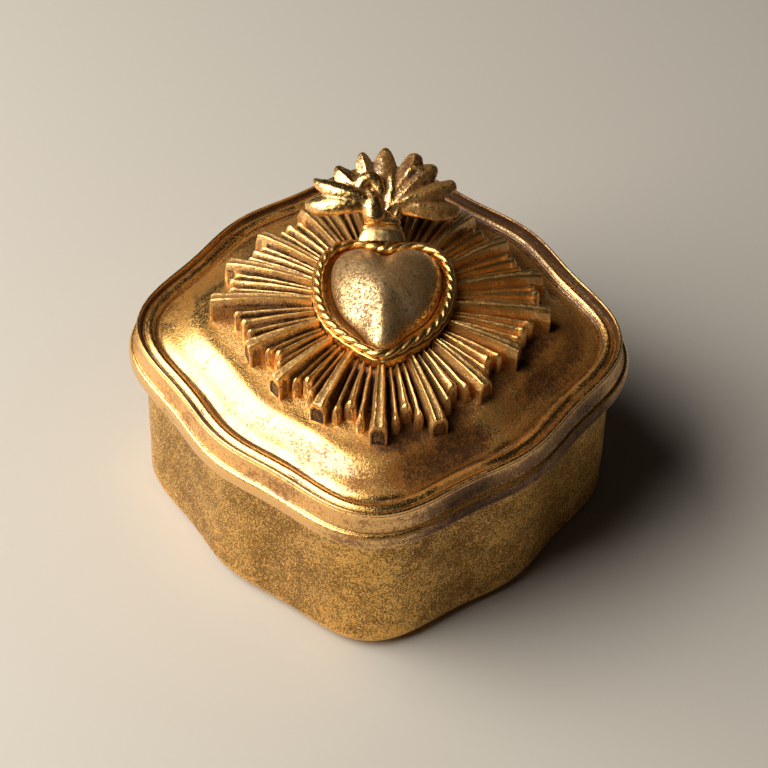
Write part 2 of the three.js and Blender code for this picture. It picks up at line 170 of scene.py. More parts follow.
def fuse(shapes, voxel, passes):
    points, faces = together(shapes)   # separate forms grow into one casting
    mesh = bpy.data.meshes.new("rough")
    mesh.from_pydata(points.tolist(), [], faces)
    rough = bpy.data.objects.new("rough", mesh)
    bpy.context.scene.collection.objects.link(rough)
    cast = rough.modifiers.new("cast", "REMESH")
    cast.mode = "VOXEL"
    cast.voxel_size = voxel
    whole = bpy.data.meshes.new_from_object(rough.evaluated_get(bpy.context.evaluated_depsgraph_get()))
    points = surroundings(whole, readPoints(whole), passes)
    faces = [list(p.vertices) for p in whole.polygons]
    bpy.data.objects.remove(rough)
    bpy.data.meshes.remove(whole)
    return points, faces


def makeMesh(name, shape, look, sunk=None):
    points, faces = outward(shape)
    mesh = bpy.data.meshes.new(name)
    mesh.from_pydata((points * mm).tolist(), [], faces)
    mesh.validate()
    mesh.shade_smooth()
    mesh.set_sharp_from_angle(angle=math.radians(plan["sharpFrom"]))
    # How far each point lies under its surroundings (up to 1) or stands out of them (down to -1)
    co = readPoints(mesh)
    normals = np.empty(len(mesh.vertices) * 3)
    mesh.vertex_normals.foreach_get("vector", normals)
    under = ((surroundings(mesh, co, look["hollowPasses"]) - co) * normals.reshape(-1, 3)).sum(axis=1)
    under = np.clip(under / (look["hollowDepth"] * mm), -1, 1)
    # sunk adds a piece's extra toning and painted shade
    if sunk is not None:
        under = np.clip(under + sunk(co / mm), -1, 1)
    hollow = mesh.attributes.new("hollow", "FLOAT", "POINT")
    hollow.data.foreach_set("value", under)
    return mesh


def makePiece(name, mesh, body, slot, material, *nodes):
    piece = bpy.data.objects.new(name, mesh)
    bpy.context.scene.collection.objects.link(piece)
    mesh.materials.append(material)
    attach(piece, body)
    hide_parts(*nodes)
    print("made", name, len(mesh.polygons), "faces")


# Materials
def addNode(tree, kind, inputs=None, **settings):
    node = tree.nodes.new(kind)
    for key, value in settings.items():
        setattr(node, key, value)
    for key, value in (inputs or {}).items():
        if isinstance(value, bpy.types.NodeSocket):
            tree.links.new(value, node.inputs[key])
        else:
            node.inputs[key].default_value = value
    return node


def mathNode(tree, operation, a, b, clamp=False):
    return addNode(tree, "ShaderNodeMath", {0: a, 1: b}, operation=operation, use_clamp=clamp).outputs[0]


def grain(tree, place, size, detail=3.0, rough=0.6, warp=0.0):
    spots = {"Vector": place, "Scale": 1 / (size * mm), "Detail": detail, "Roughness": rough,
             "Distortion": warp}   # about size mm across
    return addNode(tree, "ShaderNodeTexNoise", spots).outputs["Fac"]


def ramp(tree, value, low, high, start=0.0, end=1.0, kind="SMOOTHSTEP"):
    spread = {"Value": value, "From Min": low, "From Max": high, "To Min": start, "To Max": end}
    return addNode(tree, "ShaderNodeMapRange", spread, interpolation_type=kind).outputs["Result"]


def blendColour(tree, share, first, second):
    node = addNode(tree, "ShaderNodeMix", data_type="RGBA")
    for index, value in ((0, share), (6, first), (7, second)):
        if isinstance(value, bpy.types.NodeSocket):
            tree.links.new(value, node.inputs[index])
        else:
            node.inputs[index].default_value = value if index == 0 else (*value, 1)
    return node.outputs[2]


gilt = {
    "leaf": (1.0, 0.58, 0.15),        # burnished leaf
    "paleLeaf": (1.0, 0.72, 0.36),
    "glaze": (0.32, 0.15, 0.042),     # brown toning rubbed over the leaf
    "bole": (0.26, 0.085, 0.02),      # red ground that shows at rubbed edges
    "soilAndShade": (0.10, 0.045, 0.016),     # dark wax and dust in the hollows, and painted shade in creases and on shaded sides
    "bloom": (0.27, 0.19, 0.145),     # dull violet-grey bloom
    "boleShare": 0.3, "bloomShare": 0.3,
    "cover": 0.55,                    # share of bright leaf on the flat faces
    "cloudSize": 12.0, "cloud": 0.25,   # each size in mm, with how much it changes the cover
    "patchSize": 3.0, "patch": 0.35,
    "speckSize": 0.75, "speck": 0.9,
    "fineSize": 0.3, "fine": 0.35,
    "veinSize": 1.5, "vein": 0.0,
    "softness": 0.24,                 # how softly the leaf gives way to the glaze
    "hollow": 0.7,                    # how much leaf gives way to toning and painted shade in the hollows
    "soilAndShadeFrom": 0.30, "soilAndShadeTo": 0.95,   # depth of a hollow where soil and painted shade begin, and where they cover
    "leafRough": 0.30, "glazeRough": 0.46, "soilAndShadeRough": 0.6,
    "sparkle": 0.0,                   # how much rougher the palest flecks are
    "glazeMetal": 0.35,
    "coat": 0.4, "coatRough": 0.25, "coatIor": 1.5,   # thin wax over the leaf
    "dent": 0.6, "dentDepth": 0.10,   # strength of the small relief, and its depth in mm
}


def giltMaterial(name, stainsAndShade=(), **changes):
    look = {**gilt, **changes}
    material = bpy.data.materials.new(name)
    material.use_nodes = True
    tree = material.node_tree
    shader = tree.nodes["Principled BSDF"]

    def scaled(value, amount):
        return mathNode(tree, "MULTIPLY", mathNode(tree, "SUBTRACT", value, 0.5), 2 * amount)

    def plus(first, second):
        return mathNode(tree, "ADD", first, second)

    place = addNode(tree, "ShaderNodeTexCoord").outputs["Object"]
    hollow = addNode(tree, "ShaderNodeAttribute", attribute_name="hollow").outputs["Fac"]
    cloud = grain(tree, place, look["cloudSize"], 2.0, 0.55, 0.4)
    patch = grain(tree, place, look["patchSize"], 3.0, 0.6, 0.6)
    speck = grain(tree, place, look["speckSize"], 3.0, 0.7)
    fine = grain(tree, place, look["fineSize"], 2.0, 0.6)
    # Share of bright leaf left at a point
    cover = plus(plus(scaled(cloud, look["cloud"]), scaled(patch, look["patch"])),
                 plus(scaled(speck, look["speck"]), look["cover"]))
    cover = plus(cover, scaled(fine, look["fine"]))
    if look["vein"]:
        vein = grain(tree, place, look["veinSize"], 2.0, 0.6, 0.8)
        vein = mathNode(tree, "ABSOLUTE", mathNode(tree, "SUBTRACT", vein, 0.5), 0.0)
        cover = plus(cover, ramp(tree, vein, 0.0, 0.09, -look["vein"], 0.35 * look["vein"]))
    # Leaf gives way in hollows partly to toning and partly to painted shade
    wearAndShade = mathNode(tree, "MULTIPLY", hollow, look["hollow"])
    soilAndShadeShare = plus(hollow, plus(scaled(patch, 0.5), scaled(speck, 0.5)))
    soilAndShadeShare = mathNode(tree, "SUBTRACT", soilAndShadeShare, scaled(fine, look["fine"]))
    for centre, reach, amount in stainsAndShade:   # amount above 0 darkens the place with stain and painted shade, below 0 keeps its leaf bright as painted light
        centre = [c * mm for c in centre]
        away = addNode(tree, "ShaderNodeVectorMath", {0: place, 1: centre}, operation="DISTANCE")
        stainAndShade = ramp(tree, away.outputs["Value"], 0.4 * reach * mm, reach * mm, amount, 0.0)
        wearAndShade = plus(wearAndShade, stainAndShade)
        soilAndShadeShare = plus(soilAndShadeShare, mathNode(tree, "MULTIPLY", stainAndShade, 0.8))
    cover = mathNode(tree, "SUBTRACT", cover, wearAndShade)
    leafShare = ramp(tree, cover, 0.5 - look["softness"], 0.5 + look["softness"])
    soilAndShadeShare = ramp(tree, soilAndShadeShare, look["soilAndShadeFrom"], look["soilAndShadeTo"])
    # Colours
    leaf = blendColour(tree, ramp(tree, fine, 0.52, 0.72), look["leaf"], look["paleLeaf"])
    boleShare = ramp(tree, patch, 0.5, 0.7, 0.0, look["boleShare"])
    glaze = blendColour(tree, boleShare, look["glaze"], look["bole"])
    bloomShare = ramp(tree, cloud, 0.5, 0.66, 0.0, look["bloomShare"])
    glaze = blendColour(tree, bloomShare, glaze, look["bloom"])
    clean = blendColour(tree, leafShare, glaze, leaf)
    colour = blendColour(tree, soilAndShadeShare, clean, look["soilAndShade"])
    tree.links.new(colour, shader.inputs["Base Color"])

    def layered(onGlaze, onLeaf, onSoilAndShade):
        metal = ramp(tree, leafShare, 0.0, 1.0, onGlaze, onLeaf, "LINEAR")
        node = addNode(tree, "ShaderNodeMix", data_type="FLOAT")
        tree.links.new(soilAndShadeShare, node.inputs[0])
        tree.links.new(metal, node.inputs[2])
        node.inputs[3].default_value = onSoilAndShade
        return node.outputs[0]

    tree.links.new(layered(look["glazeMetal"], 1.0, 0.0), shader.inputs["Metallic"])
    rough = plus(layered(look["glazeRough"], look["leafRough"], look["soilAndShadeRough"]), scaled(speck, 0.12))
    if look["sparkle"]:
        rough = plus(rough, ramp(tree, fine, 0.56, 0.68, 0.0, look["sparkle"]))
    tree.links.new(rough, shader.inputs["Roughness"])
    tree.links.new(layered(0.3 * look["coat"], look["coat"], 0.0), shader.inputs["Coat Weight"])
    shader.inputs["Coat Roughness"].default_value = look["coatRough"]
    shader.inputs["Specular IOR Level"].default_value = 0.3
    shader.inputs["Coat IOR"].default_value = look["coatIor"]
    # The leaf stands a little proud of the glaze
    height = plus(plus(scaled(speck, 0.5), scaled(fine, 0.35)), mathNode(tree, "MULTIPLY", leafShare, 0.25))
    bump = addNode(tree, "ShaderNodeBump",
                   {"Height": height, "Strength": look["dent"], "Distance": look["dentDepth"] * mm})
    tree.links.new(bump.outputs["Normal"], shader.inputs["Normal"])
    return material


def feltMaterial(name, dark, pale, fibreSize, nap):
    material = bpy.data.materials.new(name)
    material.use_nodes = True
    tree = material.node_tree
    shader = tree.nodes["Principled BSDF"]
    place = addNode(tree, "ShaderNodeTexCoord").outputs["Object"]
    fibre = grain(tree, place, fibreSize, 4.0, 0.7, 1.2)
    colour = blendColour(tree, ramp(tree, fibre, 0.35, 0.65), dark, pale)
    tree.links.new(colour, shader.inputs["Base Color"])
    tree.links.new(ramp(tree, fibre, 0.3, 0.7, 0.85, 1.0), shader.inputs["Roughness"])
    shader.inputs["Sheen Weight"].default_value = 0.4
    bump = addNode(tree, "ShaderNodeBump", {"Height": fibre, "Strength": 0.6, "Distance": nap * mm})
    tree.links.new(bump.outputs["Normal"], shader.inputs["Normal"])
    return material


# Box body: wall and floor
bodyLook = {
    "footFillet": 2.5,
    "cavityFillet": 3.0,
    "floorThickness": 3.5,
    "edgeRound": 0.3,        # rounding of the wall's upper edges
    "underInsets": (10, 4, 1),   # rings of the underside; further in, they would cross
    "floorInset": 3.0,       # last ring of the cavity floor
    "outerRings": 40, "innerRings": 12,
    "uneven": ((13.0, 0.10), (3.0, 0.03)),     # size and depth of the hand-made relief
    "hollowDepth": 0.4, "hollowPasses": 12,    # depth of a full hollow, and how far round it is measured
    "finish": {
        "leaf": (1.0, 0.56, 0.12), "paleLeaf": (1.0, 0.74, 0.31), "glaze": (0.26, 0.115, 0.012),
        "bole": (0.24, 0.088, 0.010), "soilAndShade": (0.10, 0.045, 0.010), "bloom": (0.25, 0.125, 0.05),
        "cover": 0.36, "cloud": 0.35, "cloudSize": 9.0, "patch": 0.35, "speck": 1.0, "speckSize": 0.55,
        "fine": 1.3, "softness": 0.22, "soilAndShadeFrom": 0.34, "soilAndShadeTo": 0.9, "glazeMetal": 0.6, "glazeRough": 0.5,
        "leafRough": 0.38, "coat": 0.25, "coatRough": 0.35, "dentDepth": 0.2, "sparkle": 0.15,
    },
}


def bodyShape():
    b = bodyLook
    face = -plan["wallInset"]
    inner = face - plan["wallThickness"]
    foot, fillet, edge = b["footFillet"], b["cavityFillet"], b["edgeRound"]
    floorTop = feltTop + b["floorThickness"]
    under = [(face - foot - inset, feltTop) for inset in b["underInsets"]]
    profile = under + arc(face - foot, feltTop + foot, foot, -90, 0, 12)
    profile += [(face, z) for z in np.linspace(feltTop + foot, wallTop - edge, b["outerRings"])[1:]]
    profile += arc(face - edge, wallTop - edge, edge, 30, 90, 3)
    profile += [(inner + edge, wallTop), (inner, wallTop - edge)]
    profile += [(inner, z) for z in np.linspace(wallTop - 1, floorTop + fillet, b["innerRings"])]
    profile += arc(inner - fillet, floorTop + fillet, fillet, 0, -90, 8)[1:]
    profile += [(inner - fillet - b["floorInset"], floorTop)]
    rings = []
    for out, z in profile:
        ring = rimRing(out, z)
        if out > inner and z > feltTop + 0.2:   # only the outside shows the caster's hand
            out = out - sum(depth * (1 + softNoise(ring, size, 4)) for size, depth in b["uneven"])
            ring = rimRing(out, z)
        rings.append(ring)
    return loft(rings)


# Felt pad under the body
feltLook = {
    "inset": 4.0,            # in from the wall's face
    "sideRound": 0.3, "lowerRound": 0.25, "upperRound": 0.2,
    "middleInset": 8.0,      # last ring before the middle
    "hollowDepth": 0.4, "hollowPasses": 2,
    "finish": {"dark": (0.012, 0.008, 0.006), "pale": (0.05, 0.034, 0.024), "fibreSize": 0.35, "nap": 0.2},
}


def feltShape():
    edge = -plan["wallInset"] - feltLook["inset"]
    side, middle = edge - feltLook["sideRound"], edge - feltLook["middleInset"]
    profile = [(middle, 0), (side, 0), (edge, feltLook["lowerRound"])]
    profile += [(edge, feltTop - feltLook["upperRound"]), (side, feltTop), (middle, feltTop)]
    return loft([rimRing(out, z) for out, z in profile])


# Lid: rim moulding, groove, band and dome, hollow underneath
lidLook = {
    "rimHeight": 9.0,
    "noseOverhang": 1.9, "noseHeight": 3.5, "noseRound": 0.4, "noseBrow": 0.9, "noseFall": 1.7,
    "coveFace": 0.1, "coveDrop": 0.8, "step": (0.12, 0.04),   # the step under the bead, in and up
    "beadInset": 0.4, "beadRadius": 0.35,
    "grooveDrop": 1.35,
    "groove": ((-0.94, 0.5), (-1.1, 0.1), (-1.3, 0), (-1.55, 0.1)),   # out, and up from its bottom
    "bandInset": 1.75, "bandWidth": 2.5, "bandDrop": 1.15, "bandSwell": 0.5, "bandRound": 0.25,
    "crease": ((0.1, 0.35), (0.5, 0.55)),      # in and down from the band's inner edge
    "domeInset": 4.6, "domeDrop": 3.4, "domeRise": 9.3, "domeFullness": 3.0, "domeShoulder": 0.7,
    "domeReach": 0.985, "edgeLift": 0.75,      # where the dome ends on its way out, and its rise there
    "underShares": (0.1, 0.3, 0.5, 0.65, 0.75),   # rings of the dome's underside
    "thickness": 3.2, "lipInset": 5.5, "lipThickness": 2.2, "lipDepth": 4.0, "lipRound": 0.3,
    "domeRings": 120,
    "ledge": 0.42, "ledgeShare": 0.82, "ledgeWidth": 0.05,   # soft step where the shoulder begins
    "uneven": ((14.0, 0.10), (3.5, 0.02)),
    "hollowDepth": 0.25, "hollowPasses": 10,
    "finish": {
        # Painted shade on the dome's front-right, right and back, and painted light on its back-left
        "stainsAndShade": (((14, -36, 50), 17, 0.34), ((36, -8, 50), 18, 0.28), ((10, 40, 50), 19, 0.5),
                   ((-32, 22, 50), 15, -0.35)),
        "leaf": (1.0, 0.54, 0.13), "paleLeaf": (1.0, 0.66, 0.28), "glaze": (0.36, 0.138, 0.024),
        "soilAndShade": (0.07, 0.026, 0.005), "bloom": (0.22, 0.10, 0.03), "bloomShare": 0.1,
        "cover": 0.78, "cloud": 0.6, "patch": 0.5, "speck": 0.7, "fine": 0.7, "softness": 0.25,
        "soilAndShadeFrom": 0.35, "soilAndShadeTo": 1.05, "leafRough": 0.24, "glazeRough": 0.42, "glazeMetal": 0.1,
        "coat": 0.65, "coatRough": 0.2, "coatIor": 2.2, "dentDepth": 0.14, "sparkle": 0.3,
    },
}
lidToningAndShade = {
    # Sides of the lid for painted light and shade: the nose and cove away from the lamp and the back rim get
    # painted shade, and the dome gets it everywhere but the side toward the lamp. Each side: turn in degrees,
    # then how far from it the side begins to fade and has faded
    "shadedSide": (312, 46, 68), "brightSide": (215, 25, 60), "rearSide": (75, 45, 80),
    "nose": 1.1, "noseLeaf": 0.15,   # painted shade on the nose of the side away from the lamp, and leaf kept on all of it
    # Painted shade on the back rim, the cove away from the lamp and the dome off the lit side; toning with
    # painted shade in the groove and the cove all round
    "rearRim": 0.55, "groove": 0.5, "cove": 0.2, "shadedCove": 0.35, "dome": 0.62,
}
beadTop = wallTop + lidLook["rimHeight"]
domeEdgeZ = beadTop - lidLook["domeDrop"]
domeTop = domeEdgeZ + lidLook["domeRise"]


def domeHeight(x, y):
    edge = rimAt(np.arctan2(y, x)) - lidLook["domeInset"]
    share = np.minimum(1, np.hypot(x, y) / edge)
    return domeEdgeZ + lidLook["domeRise"] * (1 - share ** lidLook["domeFullness"]) ** lidLook["domeShoulder"]


def shares(count):
    return np.sin(np.linspace(0.5 * math.pi, 0.02, count))   # from the edge inward, closest at the edge


def domeRing(share, drop=0.0):
    angle = angles(plan["ringPoints"])
    radius = share * (rimAt(angle) - lidLook["domeInset"])
    x, y = radius * np.cos(angle), radius * np.sin(angle)
    return np.stack([x, y, domeHeight(x, y) - drop], axis=1)


def lidShape():
    d = lidLook
    noseTop, coveTop = wallTop + d["noseHeight"], beadTop - d["coveDrop"]
    nose = arc(d["noseOverhang"] - d["noseRound"], wallTop + d["noseRound"], d["noseRound"], -90, 0, 6)
    nose += [(d["noseOverhang"], z) for z in np.linspace(wallTop + 0.6, noseTop - d["noseFall"] - 0.1, 4)]
    brow = d["noseOverhang"] - d["noseBrow"]   # broad rounded upper edge
    nose += [(brow + d["noseBrow"] * math.cos(t), noseTop - d["noseFall"] * (1 - math.sin(t)))
             for t in np.linspace(0, 0.52 * math.pi, 14)]
    cove = [(mix(brow - 0.1, d["coveFace"], math.sin(t)), mix(coveTop, noseTop, math.cos(t)))
            for t in np.radians(np.linspace(8, 90, 16))]
    step = [(d["coveFace"] - d["step"][0], coveTop + d["step"][1])]
    bead = arc(-d["beadInset"], beadTop - d["beadRadius"], d["beadRadius"], -20, 195, 14)
    groove = [(out, beadTop - d["grooveDrop"] + up) for out, up in d["groove"]]
    bandZ, bandStart, soft = beadTop - d["bandDrop"], -d["bandInset"], d["bandRound"]
    bandEnd = bandStart - d["bandWidth"]
    band = arc(bandStart - soft, bandZ - soft, soft, 0, 80, 4)
    band += [(mix(bandStart - 0.35, bandEnd + 0.3, t), bandZ + d["bandSwell"] * math.sin(math.pi * t))
             for t in np.linspace(0, 1, 11)]
    band += arc(bandEnd + soft, bandZ - soft, soft, 100, 180, 4)
    crease = [(bandEnd - inward, bandZ - down) for inward, down in d["crease"]]
    lipOuter, lipInner = -d["lipInset"], -d["lipInset"] - d["lipThickness"]
    lipFoot, edge = wallTop - d["lipDepth"], d["lipRound"]
    lip = [(lipInner, lipFoot + edge), (lipInner + edge, lipFoot), (lipOuter - edge, lipFoot),
           (lipOuter, lipFoot + edge), (lipOuter, wallTop)]
    hollowTop = rimRing(lipInner, 0)
    hollowTop[:, 2] = domeHeight(hollowTop[:, 0], hollowTop[:, 1]) - d["thickness"]
    rings = [domeRing(share, d["thickness"]) for share in d["underShares"]] + [hollowTop]
    rings += [rimRing(out, z) for out, z in lip + nose + cove + step + bead + groove + band + crease]
    for share in d["domeReach"] * shares(d["domeRings"]):
        ring = domeRing(share)
        ring[:, 2] += d["ledge"] * math.exp(-((share - d["ledgeShare"]) / d["ledgeWidth"]) ** 2)
        ring[:, 2] += d["edgeLift"] * smoothStep(0.9, d["domeReach"], share)
        fade = 1 - smoothStep(0.9, 1.0, share)
        for k, (size, depth) in enumerate(d["uneven"]):
            ring[:, 2] += fade * depth * softNoise(ring, size, 7 + k)
        rings.append(ring)
    return loft(rings)


def nearSide(angle, side):
    turn, fadeFrom, fadeTo = lidToningAndShade[side]
    return 1 - smoothStep(fadeFrom, fadeTo, np.abs((angle - turn + 180) % 360 - 180))


def lidToningAndShadeAt(points):
    w = lidToningAndShade
    x, y, z = points.T
    angle = np.degrees(np.arctan2(y, x)) % 360
    out = np.hypot(x, y) - rimAt(np.radians(angle))
    noseTop = wallTop + lidLook["noseHeight"]
    # Each moulding by how far out and how high it lies, with soft borders
    upper = smoothStep(wallTop + 6, wallTop + 7, z)
    nose = smoothStep(0.4, 0.9, out) * (1 - smoothStep(noseTop - 0.5, noseTop + 0.2, z))
    cove = smoothStep(-0.1, 0.2, out) * smoothStep(noseTop, noseTop + 0.8, z)
    cove *= 1 - smoothStep(beadTop - 1.2, beadTop - 0.7, z)
    groove = smoothStep(-1.8, -1.5, out) * (1 - smoothStep(-1.1, -0.8, out)) * upper
    rim = smoothStep(-5, -4, out) * upper
    # Painted shade on the dome away from the lit side, and on the nose and cove away from the lamp
    dome = (1 - smoothStep(-6.5, -5.0, out)) * (1 - nearSide(angle, "brightSide"))
    awayFromLamp = nearSide(angle, "shadedSide")
    rearTurn, fadeFrom, fadeTo = w["rearSide"]
    rear = 1 - smoothStep(fadeFrom, fadeTo, np.abs(angle - rearTurn))   # it stops at the +X side
    return ((w["nose"] * awayFromLamp - w["noseLeaf"]) * nose + (w["cove"] + w["shadedCove"] * awayFromLamp) * cove
            + w["groove"] * groove + w["rearRim"] * rear * rim + w["dome"] * dome)


# Heart group: outlines shared by the rope, the tray and the heart
heartLook = {
    "borderRadius": 16.5, "borderLift": 0.95, "borderNarrowing": 1.85,
    "borderPoint": 2.4, "borderDip": 6.8, "pointSharpness": 27, "dipSharpness": 7,
    "troughWidth": 2.6, "troughDepth": 0.5, "raise": 1.0, "shift": 0.5, "point": 1.7,
    "edge": 0.8, "swell": 6.9, "crease": 1.5, "creaseWidth": 4.5,
    "ridge": 0.56,         # sharp keel that runs down to the point
    "outlinePoints": 384, "rings": 70,
    "uneven": ((5.0, 0.06), (1.2, 0.02)),
    "hollowDepth": 0.3, "hollowPasses": 14,
    "finish": {
        "stainsAndShade": (((-8, 9, 66), 6, 0.3), ((8, -2, 64), 10, 0.1)),
        "leaf": (1.0, 0.66, 0.27), "paleLeaf": (1.0, 0.88, 0.66), "glaze": (0.26, 0.13, 0.045),
        "cover": 0.5, "vein": 0.4, "veinSize": 1.1, "speck": 0.7, "leafRough": 0.36,
    },
}
rayLook = {
    "hubY": -3.0, "hubThickness": 3.0,
    "frontStep": 22.5, "frontSteps": 4, "backStep": 19.5, "backSteps": 4,
    "tipInset": 15.1, "tipLobe": 2.3, "tipBack": 2.75, "tipFlank": 7.0,
    "rootHeight": 5.5, "tipHeight": 5.5, "middleDrop": 0.8, "besideDrop": 1.2,
    "longWidth": 3.7, "middleWidth": 2.6, "besideWidth": 1.7,
    "besideReach": 0.86, "middleReach": 0.88, "middleDip": 0.16,
    "longSlot": 0.37, "valleyDepth": 1.6, "webReach": 0.7, "webEdge": 0.5, "gap": 0.2,
    "flare": 0.08, "blockRise": 0.12,   # how much wider and higher a long ray's end block is
    "frontFoot": 0.5,      # how far the front ray's end runs out at its foot
    "block": (2.3, 3.3),   # from the tip: where the end block ends, and where its slope does
    "knob": 0.9, "knobFlare": 0.2, "knobRise": 0.35,   # round end of a short ray
    "panelMargin": 0.19,   # share of the end face round its sunk panel
    "panelDepth": 0.06,
    "uneven": ((2.6, 0.08), (0.9, 0.035)),
    "stations": 36, "webPoints": 480, "webRings": 14,
    # The caster's hand: turn in degrees and reach in mm of each long ray, from the front by the right
    "turns": (0, -0.9, 0.2, 0.6, 0, 0.4, 1.4, 0, 0, 0, 0, 1.3, -0.2, 0, 3.2, 1.2, -0.6),
    "reaches": (-0.3, 0.7, -0.2, -0.7, -0.4, 0, -0.3, 0, 0, 0, 0, 0.2, 0.2, 1.0, 0, 0.4, -0.9),
    # Sections from the left side to the middle: share of the half width, and of the height
    "longSection": ((-1, 0), (-1, 0.3), (-1, 0.56), (-0.985, 0.64), (-0.93, 0.70), (-0.8, 0.80),
                    (-0.68, 0.90), (-0.6, 0.965), (-0.5, 0.995), (-0.38, 0.998), (-0.2, 0.975), (0, 0.965)),
    "shortSection": ((-1, 0), (-1, 0.3), (-0.98, 0.5), (-0.88, 0.66), (-0.7, 0.80), (-0.46, 0.92),
                     (-0.22, 0.985), (0, 1)),
    "valleyShadeUnder": (0.7, 2.0),   # mm under the crests where toning and painted shade between the rays begin, and where they are full
    "valleyShadeAmount": 1.45, "crestLeaf": 0.28,
    "rightPaintedLight": 0.5, "rightPaintedLightFrom": (5, 25),   # painted light: less of it toward the right
    "endFaceShade": 0.5,            # and on the long rays' end faces
    "hollowDepth": 0.3, "hollowPasses": 8,
    "finish": {
        # Painted light on the right rays, and painted shade on the left and front-left rays
        "stainsAndShade": (((32, 4, 57), 30, -0.15), ((-24, 2, 57), 26, 0.3), ((-10, -30, 57), 14, 0.2)),
        "leaf": (1.0, 0.56, 0.15), "paleLeaf": (1.0, 0.80, 0.42), "glaze": (0.40, 0.18, 0.048),
        "soilAndShade": (0.045, 0.017, 0.004), "bole": (0.17, 0.055, 0.01), "boleShare": 0.7,
        "cover": 0.42, "speck": 1.2, "fine": 1.0, "hollow": 0.9, "soilAndShadeFrom": 0.25, "soilAndShadeTo": 0.8,
        "leafRough": 0.36, "glazeRough": 0.5, "glazeMetal": 0.0, "coat": 0.6, "coatIor": 1.8,
        "dentDepth": 0.2, "sparkle": 0.2,
    },
}
trayLook = {
    "ledge": 0.9, "fit": 0.3, "thickness": 2.6, "spigotRadius": 7.0, "clearance": 0.3, "recess": 1.2,
    "footBevel": 0.15, "rimRound": 0.4,
    "troughSag": 1.15, "troughRings": 16,   # depth of the hollow round the heart
    "uneven": ((4.0, 0.04),),
    "hollowDepth": 0.4, "hollowPasses": 10,
    "finish": {"cover": 0.62},
}
hubTop = domeTop + plan["bedding"] + rayLook["hubThickness"]
trayTop = hubTop + trayLook["thickness"]
heartSeat = trayTop - heartLook["troughDepth"]


def borderAt(angle):
    h, up, down = heartLook, np.maximum(0, np.sin(angle)), np.maximum(0, -np.sin(angle))
    return (h["borderRadius"] + h["borderLift"] * np.sin(angle) - h["borderNarrowing"] * np.cos(2 * angle)
            + h["borderPoint"] * down ** h["pointSharpness"] - h["borderDip"] * up ** h["dipSharpness"])


def heartAt(angle):
    h, down = heartLook, np.maximum(0, -np.sin(angle))
    return (borderAt(angle) - h["troughWidth"] + h["raise"] * np.sin(angle) + h["shift"] * np.cos(angle)
            + h["point"] * down ** h["pointSharpness"])


def polar(angle, radius, z):
    x, y = plan["groupCentre"] + radius * np.cos(angle), radius * np.sin(angle)
    return np.stack([x, y, np.broadcast_to(z, x.shape)], axis=1)


# Sunburst: long and short rays on a web
def reachAt(angle):
    r = rayLook
    back = np.maximum(0, np.sin(angle)) * np.abs(np.cos(angle))
    flank = np.maximum(0, -np.sin(angle)) * np.maximum(0, np.cos(2 * angle))
    return (plan["rimRadius"] - r["tipInset"] + r["tipLobe"] * np.cos(4 * angle) + 2 * r["tipBack"] * back
            - r["tipFlank"] * flank)


def rays():
    r = rayLook
    long = [-90.0] + [-90 + i * r["frontStep"] for i in range(1, r["frontSteps"] + 1)]
    long += [long[-1] + i * r["backStep"] for i in range(1, r["backSteps"] + 1)]
    long += [180 - a for a in reversed(long[1:])]
    long = [a + turn for a, turn in zip(long, r["turns"])] + [270.0]
    shortSlot = (1 - r["longSlot"]) / 3
    made = []
    for i, start in enumerate(long[:-1]):
        step = long[i + 1] - start
        for k, kind in enumerate(("long", "beside", "middle", "beside")):
            place = 0 if k == 0 else r["longSlot"] / 2 + (k - 0.5) * shortSlot
            angle = math.radians(start + place * step)
            reach = {"long": 1, "beside": r["besideReach"],
                     "middle": r["middleReach"] - r["middleDip"] * max(0, -math.sin(angle))}[kind]
            slot = math.radians(step * (r["longSlot"] if k == 0 else shortSlot))
            made.append({"angle": angle, "reach": reach, "slot": slot, "kind": kind,
                         "more": r["reaches"][i] if k == 0 else 0, "front": i == 0 and k == 0})
    return made


def rootFrom(x, y, along):
    near, far = 0.0, plan["rimRadius"]   # from a point inside the tray to its edge, in one direction
    for _ in range(40):
        middle = (near + far) / 2
        px, py = x + along[0] * middle - plan["groupCentre"], y + along[1] * middle
        inside = math.hypot(px, py) < borderAt(math.atan2(py, px)) + trayLook["ledge"] + trayLook["fit"]
        near, far = (middle, far) if inside else (near, middle)
    return near


def rayLine(angle, more=0.0):
    hub = np.array([plan["groupCentre"], rayLook["hubY"]])
    aim = np.array([math.cos(angle), math.sin(angle)]) * (reachAt(angle) + more)
    aim -= np.array([0, rayLook["hubY"]])
    length = math.hypot(*aim)
    along = aim / length
    return hub, along, rootFrom(hub[0], hub[1], along), length


